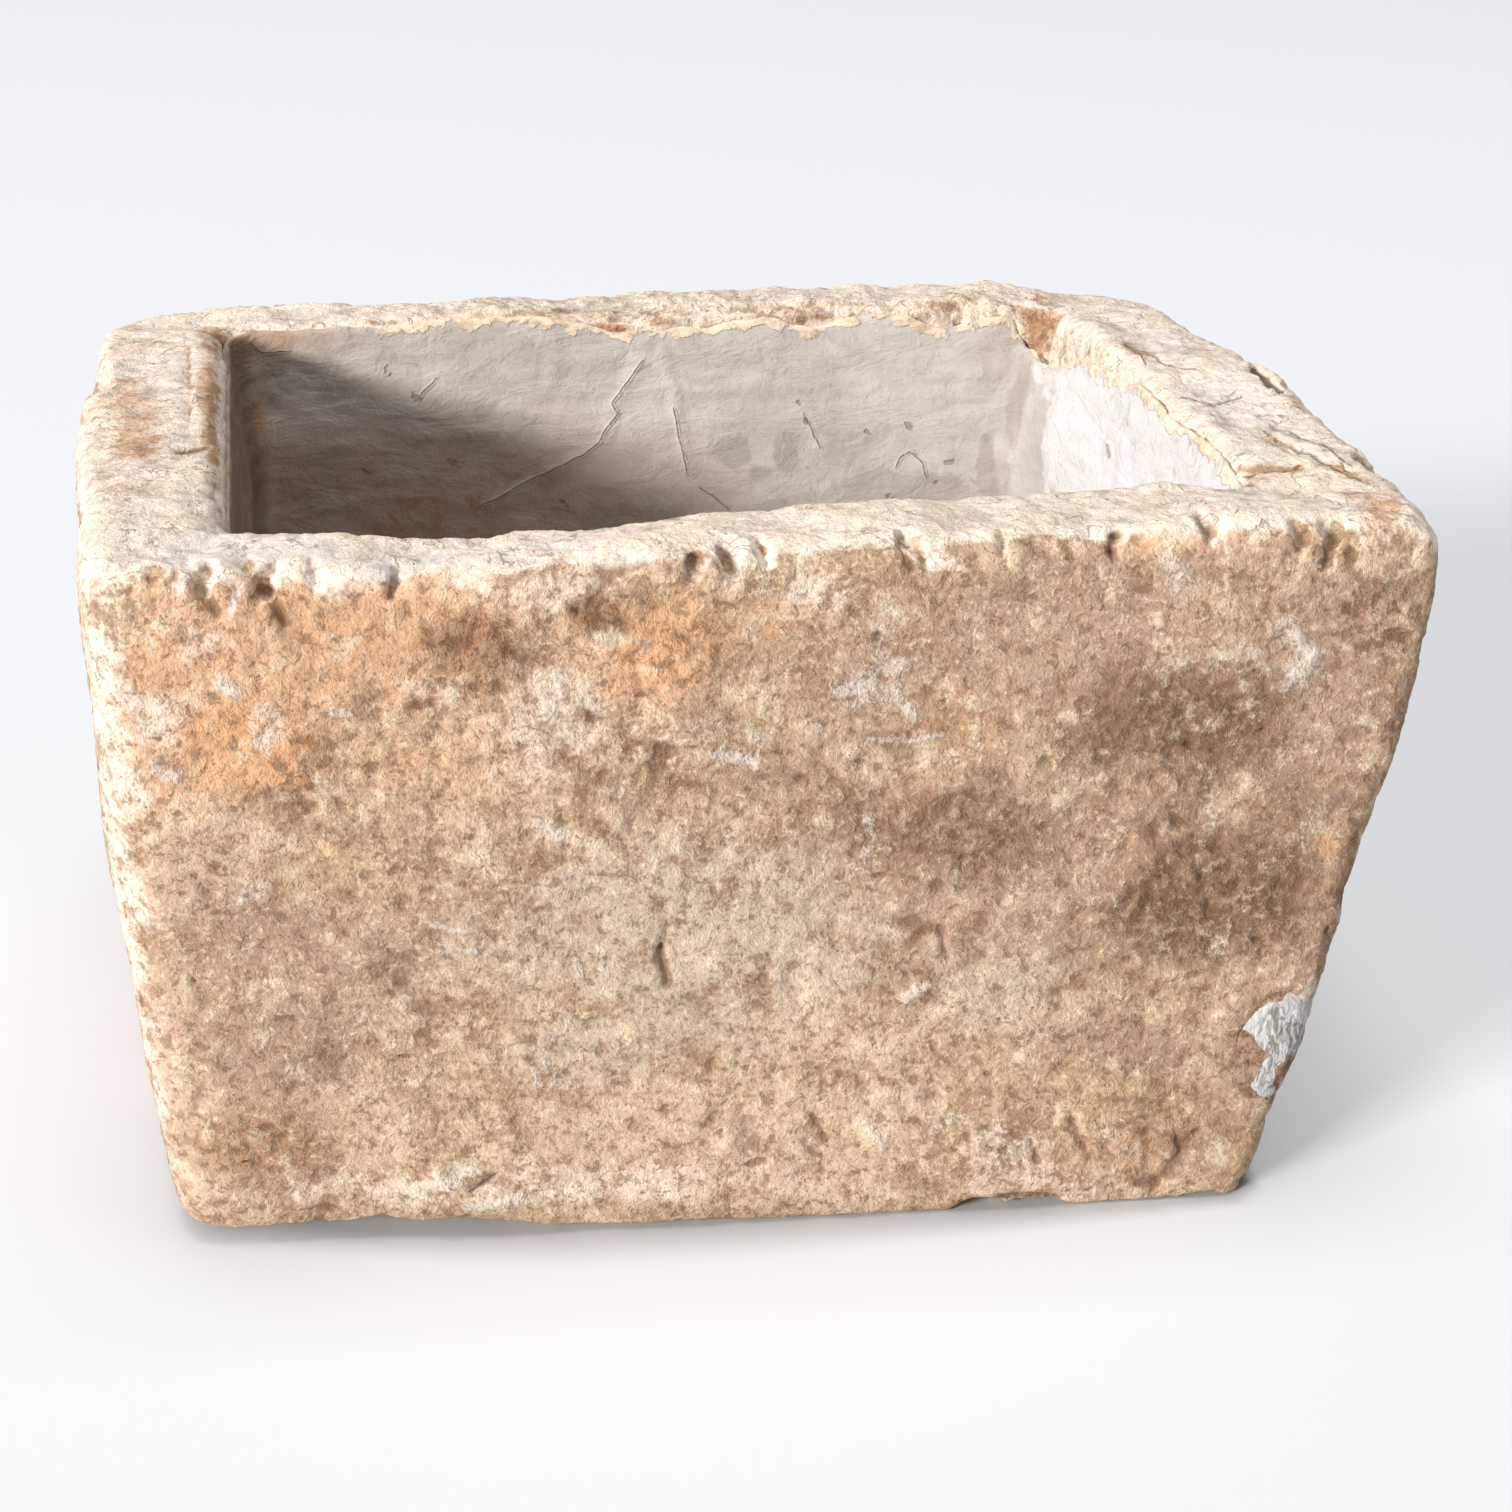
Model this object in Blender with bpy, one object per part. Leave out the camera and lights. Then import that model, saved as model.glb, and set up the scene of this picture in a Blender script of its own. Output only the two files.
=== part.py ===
"""Stone trough planter.

One block of limestone, hewn to a box that tapers to its foot and hollowed to a basin. A coat of cement
render lines the basin's walls and floor, a drain hole is drilled through render and stone, and a dab of
lime mortar fills a break on the low front right arris.

Lengths are in metres. +X runs along the front from left to right, +Y to the back and +Z up. The shapes are
worked out from the front left corner of the block's foot, and an empty then carries them so that the
origin is at the middle of the foot.
"""
import math

import bmesh
import bpy
from mathutils import Matrix, Vector, noise

# The block, measured over its full faces just under the rim
BLOCK_HEIGHT = 0.336
FRONT_LENGTH = 0.576
REAR_LENGTH = 0.596
BLOCK_DEPTH = 0.446
REAR_LEFT_OUTSET = 0.033

# Radii in plan of the four upright arrises
FRONT_LEFT_ARRIS = 0.030
FRONT_RIGHT_ARRIS = 0.016
REAR_RIGHT_ARRIS = 0.060
REAR_LEFT_ARRIS = 0.046

# How far the faces bow out in plan between their arrises
FRONT_BOW = 0.0015
RIGHT_BOW = 0.008
REAR_BOW = 0.003
LEFT_BOW = 0.005

# How far each face has moved in at the foot, where it starts to do so, and how it bends
RIGHT_SLANT = 0.060
RIGHT_SLANT_START_SHARE = 0.10
RIGHT_SLANT_BEND = 1.2
LEFT_LEAN = 0.014
LEFT_LEAN_START_SHARE = 0.30
LEFT_LEAN_BEND = 1.6
FRONT_LEAN_AT_LEFT = 0.012
FRONT_LEAN_AT_RIGHT = -0.007
FRONT_LEAN_BEND = 2.0
REAR_LEAN = 0.012

# The rim: how it rolls over at both edges, and how far it is worn down
RIM_ROLL = 0.014
BASIN_EDGE_ROLL = 0.008
RIM_WEAR = 0.009

# The foot: the lower edge is broken back and up from the floor
FOOT_SETBACK = 0.022
FOOT_LIFT = 0.007
FOOT_BEVEL = 0.002

# The roughness that the point chisel left on the outside
HEWN_DEPTH = 0.0024
HEWN_WAVE = 0.075
RIPPLE_WAVE = 0.034
RIPPLE_DEPTH = 0.0010

# The basin: wall thicknesses at the rim, and how far each wall comes in on its way to the floor
LEFT_WALL_AT_FRONT = 0.055
LEFT_WALL_AT_REAR = 0.070
RIGHT_WALL = 0.065
REAR_WALL = 0.048
FRONT_WALL_AT_LEFT = 0.048
FRONT_WALL_AT_RIGHT = 0.062
BASIN_FLOOR = 0.060
LEFT_DRAFT = -0.006
RIGHT_DRAFT = 0.026
FRONT_DRAFT = 0.010
REAR_DRAFT = 0.012
BASIN_CORNER_AT_RIM = 0.020
BASIN_CORNER_AT_FLOOR = 0.040
BASIN_FILLET = 0.020

# The render on the basin's walls and floor
RENDER_GAP = 0.0003
RENDER_ON_WALL = 0.012
RENDER_ON_FLOOR = 0.016
RENDER_EDGE = 0.0035
RENDER_FEATHER = 0.054
RENDER_FILLET = 0.016
RENDER_TOP_DROP = 0.016
TROWEL_DEPTH = 0.0010
TROWEL_WAVE = 0.090

# The drain hole
DRAIN_DIAMETER = 0.030
DRAIN_OVERRUN = 0.010
DRAIN_SIDES = 32

# The chisel notches across the front rim
NOTCH_LENGTH = 0.030
NOTCH_WIDTH = 0.0075
NOTCH_DEPTH = 0.0055
NOTCH_FACETS = (8, 5)

# The pieces broken from the edges
CHIP_LENGTH = 0.044
CHIP_REACH = 0.026
CHIP_HEIGHT = 0.011
RIM_CHIP_LENGTH = 0.050
RIM_CHIP_REACH = 0.007
RIM_CHIP_HEIGHT = 0.012
CHIP_FACETS = (12, 6)

# The mortar in the break on the front right arris
MORTAR_HEIGHT_ABOVE_FOOT = 0.084
MORTAR_WIDTH = 0.042
MORTAR_THICKNESS = 0.032
MORTAR_LENGTH = 0.078
MORTAR_PROUD = 0.0025
MORTAR_GAP = 0.0003
MORTAR_LUMP_SHARE = 0.10
MORTAR_LUMPS_ROUND = 1.7
MORTAR_FACETS = (16, 12)

# How finely the surfaces are divided
SIDE_STEPS = (30, 20, 26, 20)
ARC_STEPS = 5
ARC_SPAN_SHARE = 0.04
ROLL_STEPS = 4
RIM_TOP_STEPS = 3
BASIN_EDGE_STEPS = 3
FILLET_STEPS = 3
WALL_LEVEL_SHARES = (0.04, 0.10, 0.17, 0.25, 0.33, 0.41, 0.49, 0.57, 0.65, 0.73, 0.81, 0.88, 0.94, 1.0)
RENDER_LEVEL_SHARES = (0.22, 0.41, 0.60, 0.80)

# Places round the trough are counted in sides passed, anticlockwise from the front left corner:
# the front is 0 to 1, the right side 1 to 2, the rear 2 to 3 and the left side 3 to 4.

# Share of RIM_WEAR that is worn off the rim
RIM_WEAR_SHARES = (
    (0.00, 0.45), (0.06, 0.35), (0.14, 0.75), (0.22, 1.00), (0.34, 0.75), (0.48, 0.40), (0.62, 0.15),
    (0.80, 0.00), (0.93, 0.10), (1.00, 0.45), (1.18, 0.10), (1.40, 0.30), (1.62, 0.05), (1.85, 0.20),
    (2.00, 0.60), (2.12, 0.15), (2.28, 0.00), (2.44, 0.25), (2.60, 0.45), (2.84, 0.55), (3.00, 0.75),
    (3.15, 0.30), (3.40, 0.15), (3.65, 0.25), (3.82, 0.10), (3.94, 0.25),
)

# Share of FOOT_SETBACK and FOOT_LIFT that the foot's lower edge is broken away
FOOT_BREAK_SHARES = (
    (0.00, 0.90), (0.10, 1.00), (0.22, 0.75), (0.36, 0.25), (0.60, 0.10), (0.85, 0.06), (1.00, 0.06),
    (1.10, 0.20), (1.30, 0.55), (1.70, 0.30), (2.00, 0.60), (2.40, 0.30), (2.80, 0.45), (3.00, 0.70), (3.40, 0.35),
    (3.80, 0.60),
)

# Share of RENDER_TOP_DROP by which the render's ragged edge lies under the edge of the basin
RENDER_TOP_SHARES = (
    (0.00, 0.30), (0.12, 0.20), (0.30, 0.35), (0.50, 0.20), (0.70, 0.35), (0.90, 0.15), (1.00, 0.40),
    (1.15, 0.10), (1.30, 0.30), (1.45, 0.05), (1.62, 0.30), (1.80, 0.05), (1.94, 0.50), (2.00, 1.50),
    (2.06, 0.10), (2.14, 0.30), (2.20, 0.00), (2.29, 0.30), (2.35, 0.00), (2.43, 0.20), (2.52, 0.25),
    (2.59, 0.00), (2.70, 0.00), (2.78, 0.05), (2.84, 0.25), (2.89, 0.05), (2.93, 0.25), (2.97, 0.10),
    (3.06, 0.30), (3.25, 0.20), (3.50, 0.35), (3.75, 0.20),
)

# Each notch: its place along the front, then shares of the notch's length, width and depth, and the way
# it leans, as a share of a right angle
NOTCH_SHARES = (
    (0.056, 0.55, 0.80, 0.60, -0.15),
    (0.088, 1.00, 1.05, 1.10, -0.28),
    (0.130, 1.15, 1.15, 1.25, -0.30),
    (0.165, 0.60, 0.80, 0.60, -0.20),
    (0.223, 0.80, 0.90, 0.50, -0.10),
    (0.434, 0.60, 0.80, 0.70, 0.05),
    (0.457, 0.95, 1.00, 0.90, -0.10),
    (0.482, 0.60, 0.90, 0.80, 0.10),
    (0.592, 1.10, 1.10, 0.70, 0.35),
    (0.657, 0.50, 0.80, 0.60, 0.10),
    (0.745, 0.90, 1.00, 0.75, 0.00),
    (0.818, 0.80, 1.00, 0.60, -0.35),
    (0.881, 0.80, 1.00, 0.80, 0.15),
    (0.907, 1.05, 1.15, 1.10, 0.20),
)

# Each piece broken from the foot: its place in sides passed, then shares of its length, reach and height
FOOT_CHIP_SHARES = (
    (0.180, 1.00, 1.00, 1.00),
    (0.735, 0.60, 0.55, 0.60),
    (1.440, 0.90, 0.70, 0.70),
    (2.300, 0.80, 0.60, 0.60),
    (2.660, 1.10, 0.80, 0.80),
    (3.550, 0.90, 0.70, 0.80),
)

# Each piece broken from the rim's outer edge, in the same way
RIM_CHIP_SHARES = (
    (1.190, 0.75, 1.00, 1.00),
    (1.500, 1.10, 0.70, 1.00),
    (1.760, 0.90, 0.90, 1.10),
    (2.450, 1.20, 0.60, 0.70),
    (3.360, 1.10, 0.80, 0.80),
)

# Colours, linear, with roughness
STONE_COLOUR = (0.500, 0.325, 0.205, 1.0)
STONE_ROUGHNESS = 0.92
RENDER_COLOUR = (0.560, 0.510, 0.470, 1.0)
RENDER_ROUGHNESS = 0.85
MORTAR_COLOUR = (0.680, 0.660, 0.620, 1.0)
MORTAR_ROUGHNESS = 0.80
SMOOTH_ANGLE = math.radians(38.0)


# Places and shares

def round_places():
    """The place of each column of points, in sides passed."""
    places = []
    for side, steps in enumerate(SIDE_STEPS):
        for step in range(ARC_STEPS + 1):
            places.append((side + ARC_SPAN_SHARE * (2 * step / ARC_STEPS - 1)) % len(SIDE_STEPS))
        straight = 1 - 2 * ARC_SPAN_SHARE
        for step in range(1, steps):
            places.append(side + ARC_SPAN_SHARE + straight * step / steps)
    return places


def share_at(table, place):
    """The value of a table at a place round the trough, eased from one entry to the next."""
    turns = len(SIDE_STEPS)
    for index, (start, value) in enumerate(table):
        end, next_value = table[(index + 1) % len(table)]
        span = (end - start) % turns
        passed = (place - start) % turns
        if passed < span:
            ease = passed / span
            ease = ease * ease * (3 - 2 * ease)
            return value + (next_value - value) * ease
    return table[0][1]


def eased_lean(drop_share, start_share, bend):
    """Share of a face's lean that is reached at a share of the way down from the rim."""
    run = max(0.0, (drop_share - start_share) / (1 - start_share))
    return run ** bend


# Outlines in plan

def rounded_outline(corners, radii, bows):
    """Points round a four-sided outline with rounded corners, each with its way out in plan."""
    arcs = []
    for index, corner in enumerate(corners):
        back = (corners[index - 1] - corner).normalized()
        ahead = (corners[(index + 1) % len(corners)] - corner).normalized()
        half_angle = back.angle(ahead) / 2
        radius = radii[index]
        centre = corner + (back + ahead).normalized() * (radius / math.sin(half_angle))
        start = corner + back * (radius / math.tan(half_angle)) - centre
        sweep = math.pi - 2 * half_angle
        arc = []
        for step in range(ARC_STEPS + 1):
            spoke = Matrix.Rotation(sweep * step / ARC_STEPS, 2) @ start
            arc.append((centre + spoke, spoke.normalized()))
        arcs.append(arc)
    outline = []
    for index, arc in enumerate(arcs):
        outline.extend(arc)
        first = arc[-1][0]
        last = arcs[(index + 1) % len(arcs)][0][0]
        along = last - first
        way_out = Vector((along.y, -along.x)).normalized()
        steps = SIDE_STEPS[index]
        for step in range(1, steps):
            share = step / steps
            bow = bows[index] * math.sin(math.pi * share) ** 2
            outline.append((first + along * share + way_out * bow, way_out))
    return outline


def block_corners(drop_share):
    """The block's four corners in plan at a share of the way down from the rim."""
    right = RIGHT_SLANT * eased_lean(drop_share, RIGHT_SLANT_START_SHARE, RIGHT_SLANT_BEND)
    left = LEFT_LEAN * eased_lean(drop_share, LEFT_LEAN_START_SHARE, LEFT_LEAN_BEND)
    front_left = FRONT_LEAN_AT_LEFT * drop_share ** FRONT_LEAN_BEND
    front_right = FRONT_LEAN_AT_RIGHT * drop_share ** FRONT_LEAN_BEND
    rear = BLOCK_DEPTH - REAR_LEAN * drop_share
    return [
        Vector((left, front_left)),
        Vector((FRONT_LENGTH - right, front_right)),
        Vector((REAR_LENGTH - REAR_LEFT_OUTSET - right, rear)),
        Vector((left - REAR_LEFT_OUTSET, rear)),
    ]


def block_outline(drop_share):
    """The block's outline in plan at a share of the way down from the rim."""
    radii = (FRONT_LEFT_ARRIS, FRONT_RIGHT_ARRIS, REAR_RIGHT_ARRIS, REAR_LEFT_ARRIS)
    bows = (FRONT_BOW, RIGHT_BOW, REAR_BOW, LEFT_BOW)
    return rounded_outline(block_corners(drop_share), radii, bows)


def basin_outline(depth_share, radius):
    """The outline of the basin's stone walls, from the rim at 0 to the floor at 1."""
    left = LEFT_DRAFT * depth_share
    right = RIGHT_WALL + RIGHT_DRAFT * depth_share
    front = FRONT_DRAFT * depth_share
    rear = BLOCK_DEPTH - REAR_WALL - REAR_DRAFT * depth_share
    corners = [
        Vector((LEFT_WALL_AT_FRONT + left, FRONT_WALL_AT_LEFT + front)),
        Vector((FRONT_LENGTH - right, FRONT_WALL_AT_RIGHT + front)),
        Vector((REAR_LENGTH - REAR_LEFT_OUTSET - right, rear)),
        Vector((LEFT_WALL_AT_REAR - REAR_LEFT_OUTSET + left, rear)),
    ]
    return rounded_outline(corners, [radius] * len(corners), [0.0] * len(corners))


# Points and rings

def moved_in(spot, inset, height):
    """The point of an outline moved in by inset and set at a height."""
    point, way_out = spot
    return Vector((point.x - way_out.x * inset, point.y - way_out.y * inset, height))


def hewn(point, way_out):
    """The point moved along way_out by the roughness of hewn stone."""
    swell = HEWN_DEPTH * noise.noise(point / HEWN_WAVE)
    ripple = RIPPLE_DEPTH * noise.noise(point / RIPPLE_WAVE)
    return point + way_out * (swell + ripple)


def trowelled(point, way_out):
    """The point moved along way_out by the waves that a trowel leaves in render."""
    return point + way_out * (TROWEL_DEPTH * noise.noise(point / TROWEL_WAVE))


def tilted(spot, lean):
    """The way out of an outline's point, turned up from level by the angle lean."""
    way_out = spot[1]
    return Vector((way_out.x * math.cos(lean), way_out.y * math.cos(lean), math.sin(lean)))


class BasinWall:
    """The basin's stone walls: straight lines from the rim to the top of the floor's fillet."""

    def __init__(self):
        self.top = BLOCK_HEIGHT
        self.bottom = BASIN_FLOOR + BASIN_FILLET
        self.upper = basin_outline(0, BASIN_CORNER_AT_RIM)
        self.lower = basin_outline(1, BASIN_CORNER_AT_FLOOR)

    def spot(self, column, height):
        """The wall's point in plan at a height, with its way out of the basin."""
        share = (self.top - height) / (self.top - self.bottom)
        point = self.upper[column][0].lerp(self.lower[column][0], share)
        return point, self.lower[column][1]


def rim_heights():
    """The height of the worn rim at each column."""
    return [BLOCK_HEIGHT - RIM_WEAR * share_at(RIM_WEAR_SHARES, place) for place in round_places()]


def render_top_heights():
    """The height of the render's ragged top edge at each column."""
    heights = []
    for rim, place in zip(rim_heights(), round_places()):
        heights.append(rim - BASIN_EDGE_ROLL - RENDER_TOP_DROP * share_at(RENDER_TOP_SHARES, place))
    return heights


def foot_rings():
    """The edge of the foot on the floor and the broken lower edge above it."""
    outline = block_outline(1)
    breaks = [share_at(FOOT_BREAK_SHARES, place) for place in round_places()]
    on_floor = []
    edge = []
    for spot, share in zip(outline, breaks):
        on_floor.append(moved_in(spot, FOOT_BEVEL + FOOT_SETBACK * share, 0.0))
        edge.append(moved_in(spot, FOOT_BEVEL, FOOT_LIFT * share + FOOT_BEVEL))
    return [on_floor, edge]


def outer_wall_rings(edge):
    """The block's faces from the foot's edge to where the rim rolls over."""
    tops = [height - RIM_ROLL for height in rim_heights()]
    rings = []
    for level in WALL_LEVEL_SHARES:
        outline = block_outline(1 - level)
        ring = []
        for spot, low, top in zip(outline, edge, tops):
            point = moved_in(spot, 0.0, low.z + (top - low.z) * level)
            ring.append(hewn(point, tilted(spot, 0.0)))
        rings.append(ring)
    return rings


def rim_rings(wall):
    """The rolled outer edge of the rim, its top, and the roll down into the basin."""
    outline = block_outline(0)
    heights = rim_heights()
    rings = []
    for step in range(1, ROLL_STEPS + 1):
        angle = math.pi / 2 * step / ROLL_STEPS
        inset = RIM_ROLL * (1 - math.cos(angle))
        ring = []
        for spot, height in zip(outline, heights):
            point = moved_in(spot, inset, height - RIM_ROLL * (1 - math.sin(angle)))
            ring.append(hewn(point, tilted(spot, angle)))
        rings.append(ring)
    edge_rings = []
    for step in range(BASIN_EDGE_STEPS + 1):
        angle = math.pi / 2 * step / BASIN_EDGE_STEPS
        outset = BASIN_EDGE_ROLL * (1 - math.sin(angle))
        ring = []
        for column, height in enumerate(heights):
            level = height - BASIN_EDGE_ROLL * (1 - math.cos(angle))
            ring.append(moved_in(wall.spot(column, level), -outset, level))
        edge_rings.append(ring)
    outer = rings[-1]
    inner = edge_rings[0]
    for step in range(1, RIM_TOP_STEPS):
        share = step / RIM_TOP_STEPS
        across = [a.lerp(b, share) for a, b in zip(outer, inner)]
        rings.append([hewn(point, Vector((0, 0, 1))) for point in across])
    return rings + edge_rings


def fillet_rings(wall, inset, floor, radius):
    """The rings from the foot of the basin's walls round the fillet to its floor."""
    rings = []
    for step in range(FILLET_STEPS + 1):
        angle = math.pi / 2 * step / FILLET_STEPS
        reach = inset + radius * (1 - math.cos(angle))
        height = floor + radius * (1 - math.sin(angle))
        rings.append([moved_in(spot, reach, height) for spot in wall.lower])
    return rings


def body_from_rings(name, rings):
    """A closed body: each ring joined to the next, and flat faces over the first and the last."""
    bm = bmesh.new()
    loops = [[bm.verts.new(point) for point in ring] for ring in rings]
    for lower, upper in zip(loops, loops[1:]):
        for column in range(len(lower)):
            bm.faces.new((lower[column - 1], lower[column], upper[column]))
            bm.faces.new((lower[column - 1], upper[column], upper[column - 1]))
    bm.faces.new(reversed(loops[0]))
    bm.faces.new(loops[-1])
    return object_from_bmesh(name, bm)


# Objects, materials and cuts

def object_from_bmesh(name, bm):
    """An object with the mesh that bm holds."""
    mesh = bpy.data.meshes.new(name)
    bm.to_mesh(mesh)
    bm.free()
    made = bpy.data.objects.new(name, mesh)
    bpy.context.scene.collection.objects.link(made)
    return made


def finish(made, colour, roughness):
    """Smooth shading up to SMOOTH_ANGLE, and a material of the object's own."""
    made.data.shade_smooth()
    made.data.set_sharp_from_angle(angle=SMOOTH_ANGLE)
    material = bpy.data.materials.new(made.name)
    material.use_nodes = True
    shader = material.node_tree.nodes["Principled BSDF"]
    shader.inputs["Base Color"].default_value = colour
    shader.inputs["Roughness"].default_value = roughness
    shader.inputs["Metallic"].default_value = 0.0
    made.data.materials.append(material)


def as_cutter(made):
    """Marks an object as a cutter, which is a guide and not a piece."""
    made.hide_render = True
    made.display_type = "WIRE"
    return made


def cut(piece, cutter):
    """Takes a cutter's shape out of a piece."""
    modifier = piece.modifiers.new(cutter.name, "BOOLEAN")
    modifier.operation = "DIFFERENCE"
    modifier.solver = "EXACT"
    modifier.object = cutter


def add_lump(bm, centre, across, up, sizes, facets):
    """Adds an egg shape. Its three sizes lie along across, square to both ways, and along up."""
    third = up.cross(across).normalized()
    turn = Matrix((across.normalized(), third, up.normalized())).transposed().to_4x4()
    scale = Matrix.Diagonal(Vector([size / 2 for size in sizes])).to_4x4()
    place = Matrix.Translation(centre) @ turn @ scale
    round_steps, tall_steps = facets
    made = bmesh.ops.create_uvsphere(
        bm, u_segments=round_steps, v_segments=tall_steps, radius=1, matrix=place
    )
    return made["verts"]


def place_on_side(corners, place):
    """The point at a place round four corners, with the ways along the side and out of it."""
    side = int(place)
    start = corners[side]
    along = corners[(side + 1) % len(corners)] - start
    point = start + along * (place - side)
    along = along.normalized()
    return point, Vector((along.x, along.y, 0)), Vector((along.y, -along.x, 0))


def chisel_notch_cutter():
    """The strokes that a chisel left across the rolled edge of the front rim."""
    bm = bmesh.new()
    corners = block_corners(0)
    lean = math.pi / 4
    for place, length, width, depth, slant in NOTCH_SHARES:
        point, along, way_out = place_on_side(corners, place)
        rim = BLOCK_HEIGHT - RIM_WEAR * share_at(RIM_WEAR_SHARES, place)
        face = way_out * math.cos(lean) + Vector((0, 0, math.sin(lean)))
        centre = Vector((point.x, point.y, rim - RIM_ROLL)) - way_out * RIM_ROLL + face * RIM_ROLL
        down = along.cross(face)
        stroke = Matrix.Rotation(math.pi / 2 * slant, 3, face) @ down
        sizes = (NOTCH_LENGTH * length, NOTCH_WIDTH * width, 2 * NOTCH_DEPTH * depth)
        add_lump(bm, centre, stroke, face, sizes, NOTCH_FACETS)
    return as_cutter(object_from_bmesh("chisel_notch_cutter", bm))


def edge_chip_cutter():
    """The pieces broken from the foot's edge and from the rim's outer edge."""
    bm = bmesh.new()
    up = Vector((0, 0, 1))
    for place, length, reach, height in FOOT_CHIP_SHARES:
        point, along, _ = place_on_side(block_corners(1), place)
        sizes = (CHIP_LENGTH * length, 2 * CHIP_REACH * reach, 2 * CHIP_HEIGHT * height)
        add_lump(bm, Vector((point.x, point.y, 0)), along, up, sizes, CHIP_FACETS)
    for place, length, reach, height in RIM_CHIP_SHARES:
        point, along, way_out = place_on_side(block_corners(0), place)
        lift = RIM_ROLL * (1 - math.sin(math.pi / 4))
        rim = BLOCK_HEIGHT - RIM_WEAR * share_at(RIM_WEAR_SHARES, place)
        centre = Vector((point.x, point.y, rim - lift)) - way_out * lift
        sizes = (RIM_CHIP_LENGTH * length, 2 * RIM_CHIP_REACH * reach, 2 * RIM_CHIP_HEIGHT * height)
        add_lump(bm, centre, along, up, sizes, CHIP_FACETS)
    return as_cutter(object_from_bmesh("edge_chip_cutter", bm))


def mortar_lump(name, gap):
    """The lump of mortar on the front right arris, drawn in by gap all over."""
    drop_share = 1 - MORTAR_HEIGHT_ABOVE_FOOT / BLOCK_HEIGHT
    corner = block_corners(drop_share)[1]
    upper = block_corners(drop_share / 2)[1]
    rise = Vector((upper.x - corner.x, upper.y - corner.y, BLOCK_HEIGHT * drop_share / 2))
    centre = Vector((
        corner.x + MORTAR_PROUD - MORTAR_WIDTH / 2,
        corner.y - MORTAR_PROUD + MORTAR_THICKNESS / 2,
        MORTAR_HEIGHT_ABOVE_FOOT,
    ))
    bm = bmesh.new()
    across = Vector((0, 1, 0)).cross(rise)
    sizes = (MORTAR_WIDTH, MORTAR_THICKNESS, MORTAR_LENGTH)
    for vertex in add_lump(bm, centre, across, rise, sizes, MORTAR_FACETS):
        spoke = vertex.co - centre
        swell = MORTAR_LUMP_SHARE * noise.noise(spoke.normalized() * MORTAR_LUMPS_ROUND)
        vertex.co = centre + spoke * (1 + swell)
    bmesh.ops.triangulate(bm, faces=bm.faces, quad_method="FIXED")
    bm.normal_update()
    ways_out = [vertex.normal.copy() for vertex in bm.verts]
    for vertex, way_out in zip(bm.verts, ways_out):
        vertex.co -= way_out * gap
    return object_from_bmesh(name, bm)


def drain_cutter(wall):
    """The drill that goes up through the floor at the middle of the basin."""
    middle = sum((spot[0] for spot in wall.lower), Vector((0, 0))) / len(wall.lower)
    top = BASIN_FLOOR + RENDER_GAP + RENDER_ON_FLOOR + DRAIN_OVERRUN
    bm = bmesh.new()
    bmesh.ops.create_cone(
        bm,
        cap_ends=True,
        segments=DRAIN_SIDES,
        radius1=DRAIN_DIAMETER / 2,
        radius2=DRAIN_DIAMETER / 2,
        depth=top + DRAIN_OVERRUN,
        matrix=Matrix.Translation((middle.x, middle.y, (top - DRAIN_OVERRUN) / 2)),
    )
    return as_cutter(object_from_bmesh("drain_drill", bm))


# The pieces

def make_stone_trough(wall):
    """The hewn block with its basin."""
    rings = foot_rings()
    rings += outer_wall_rings(rings[-1])
    rings += rim_rings(wall)
    seat = []
    for column, height in enumerate(render_top_heights()):
        seat.append(moved_in(wall.spot(column, height), 0.0, height))
    rings.append(seat)
    rings += fillet_rings(wall, 0.0, BASIN_FLOOR, BASIN_FILLET)
    return body_from_rings("stone_trough", rings)


def make_basin_lining(wall):
    """The coat of render: its back follows the stone, and its face is trowelled."""
    floor_back = BASIN_FLOOR + RENDER_GAP
    rings = list(reversed(fillet_rings(wall, RENDER_GAP, floor_back, BASIN_FILLET - RENDER_GAP)))
    tops = render_top_heights()
    face_rings = fillet_rings(wall, RENDER_GAP + RENDER_ON_WALL, floor_back + RENDER_ON_FLOOR, RENDER_FILLET)
    for inset in (RENDER_GAP, RENDER_GAP + RENDER_EDGE):
        rings.append([moved_in(wall.spot(column, top), inset, top) for column, top in enumerate(tops)])
    feather = []
    for column, top in enumerate(tops):
        height = top - RENDER_FEATHER
        feather.append(moved_in(wall.spot(column, height), RENDER_GAP + RENDER_ON_WALL, height))
    rings.append(feather)
    for share in RENDER_LEVEL_SHARES:
        ring = []
        for spot, upper, lower in zip(wall.lower, feather, face_rings[0]):
            ring.append(trowelled(upper.lerp(lower, share), tilted(spot, 0.0)))
        rings.append(ring)
    rings += face_rings
    return body_from_rings("basin_lining", rings)


def clear_scene():
    """Takes every object out of the scene."""
    for old in list(bpy.data.objects):
        bpy.data.objects.remove(old, do_unlink=True)


def stand_on_origin(made):
    """Parents the objects to an empty that puts the middle of the foot at the origin."""
    outline = block_outline(0)
    left = min(spot[0].x for spot in outline)
    right = max(spot[0].x for spot in outline)
    front = min(spot[0].y for spot in outline)
    rear = max(spot[0].y for spot in outline)
    empty = bpy.data.objects.new("foot_centre", None)
    empty.location = (-(left + right) / 2, -(front + rear) / 2, 0.0)
    bpy.context.scene.collection.objects.link(empty)
    for piece in made:
        piece.parent = empty


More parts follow.
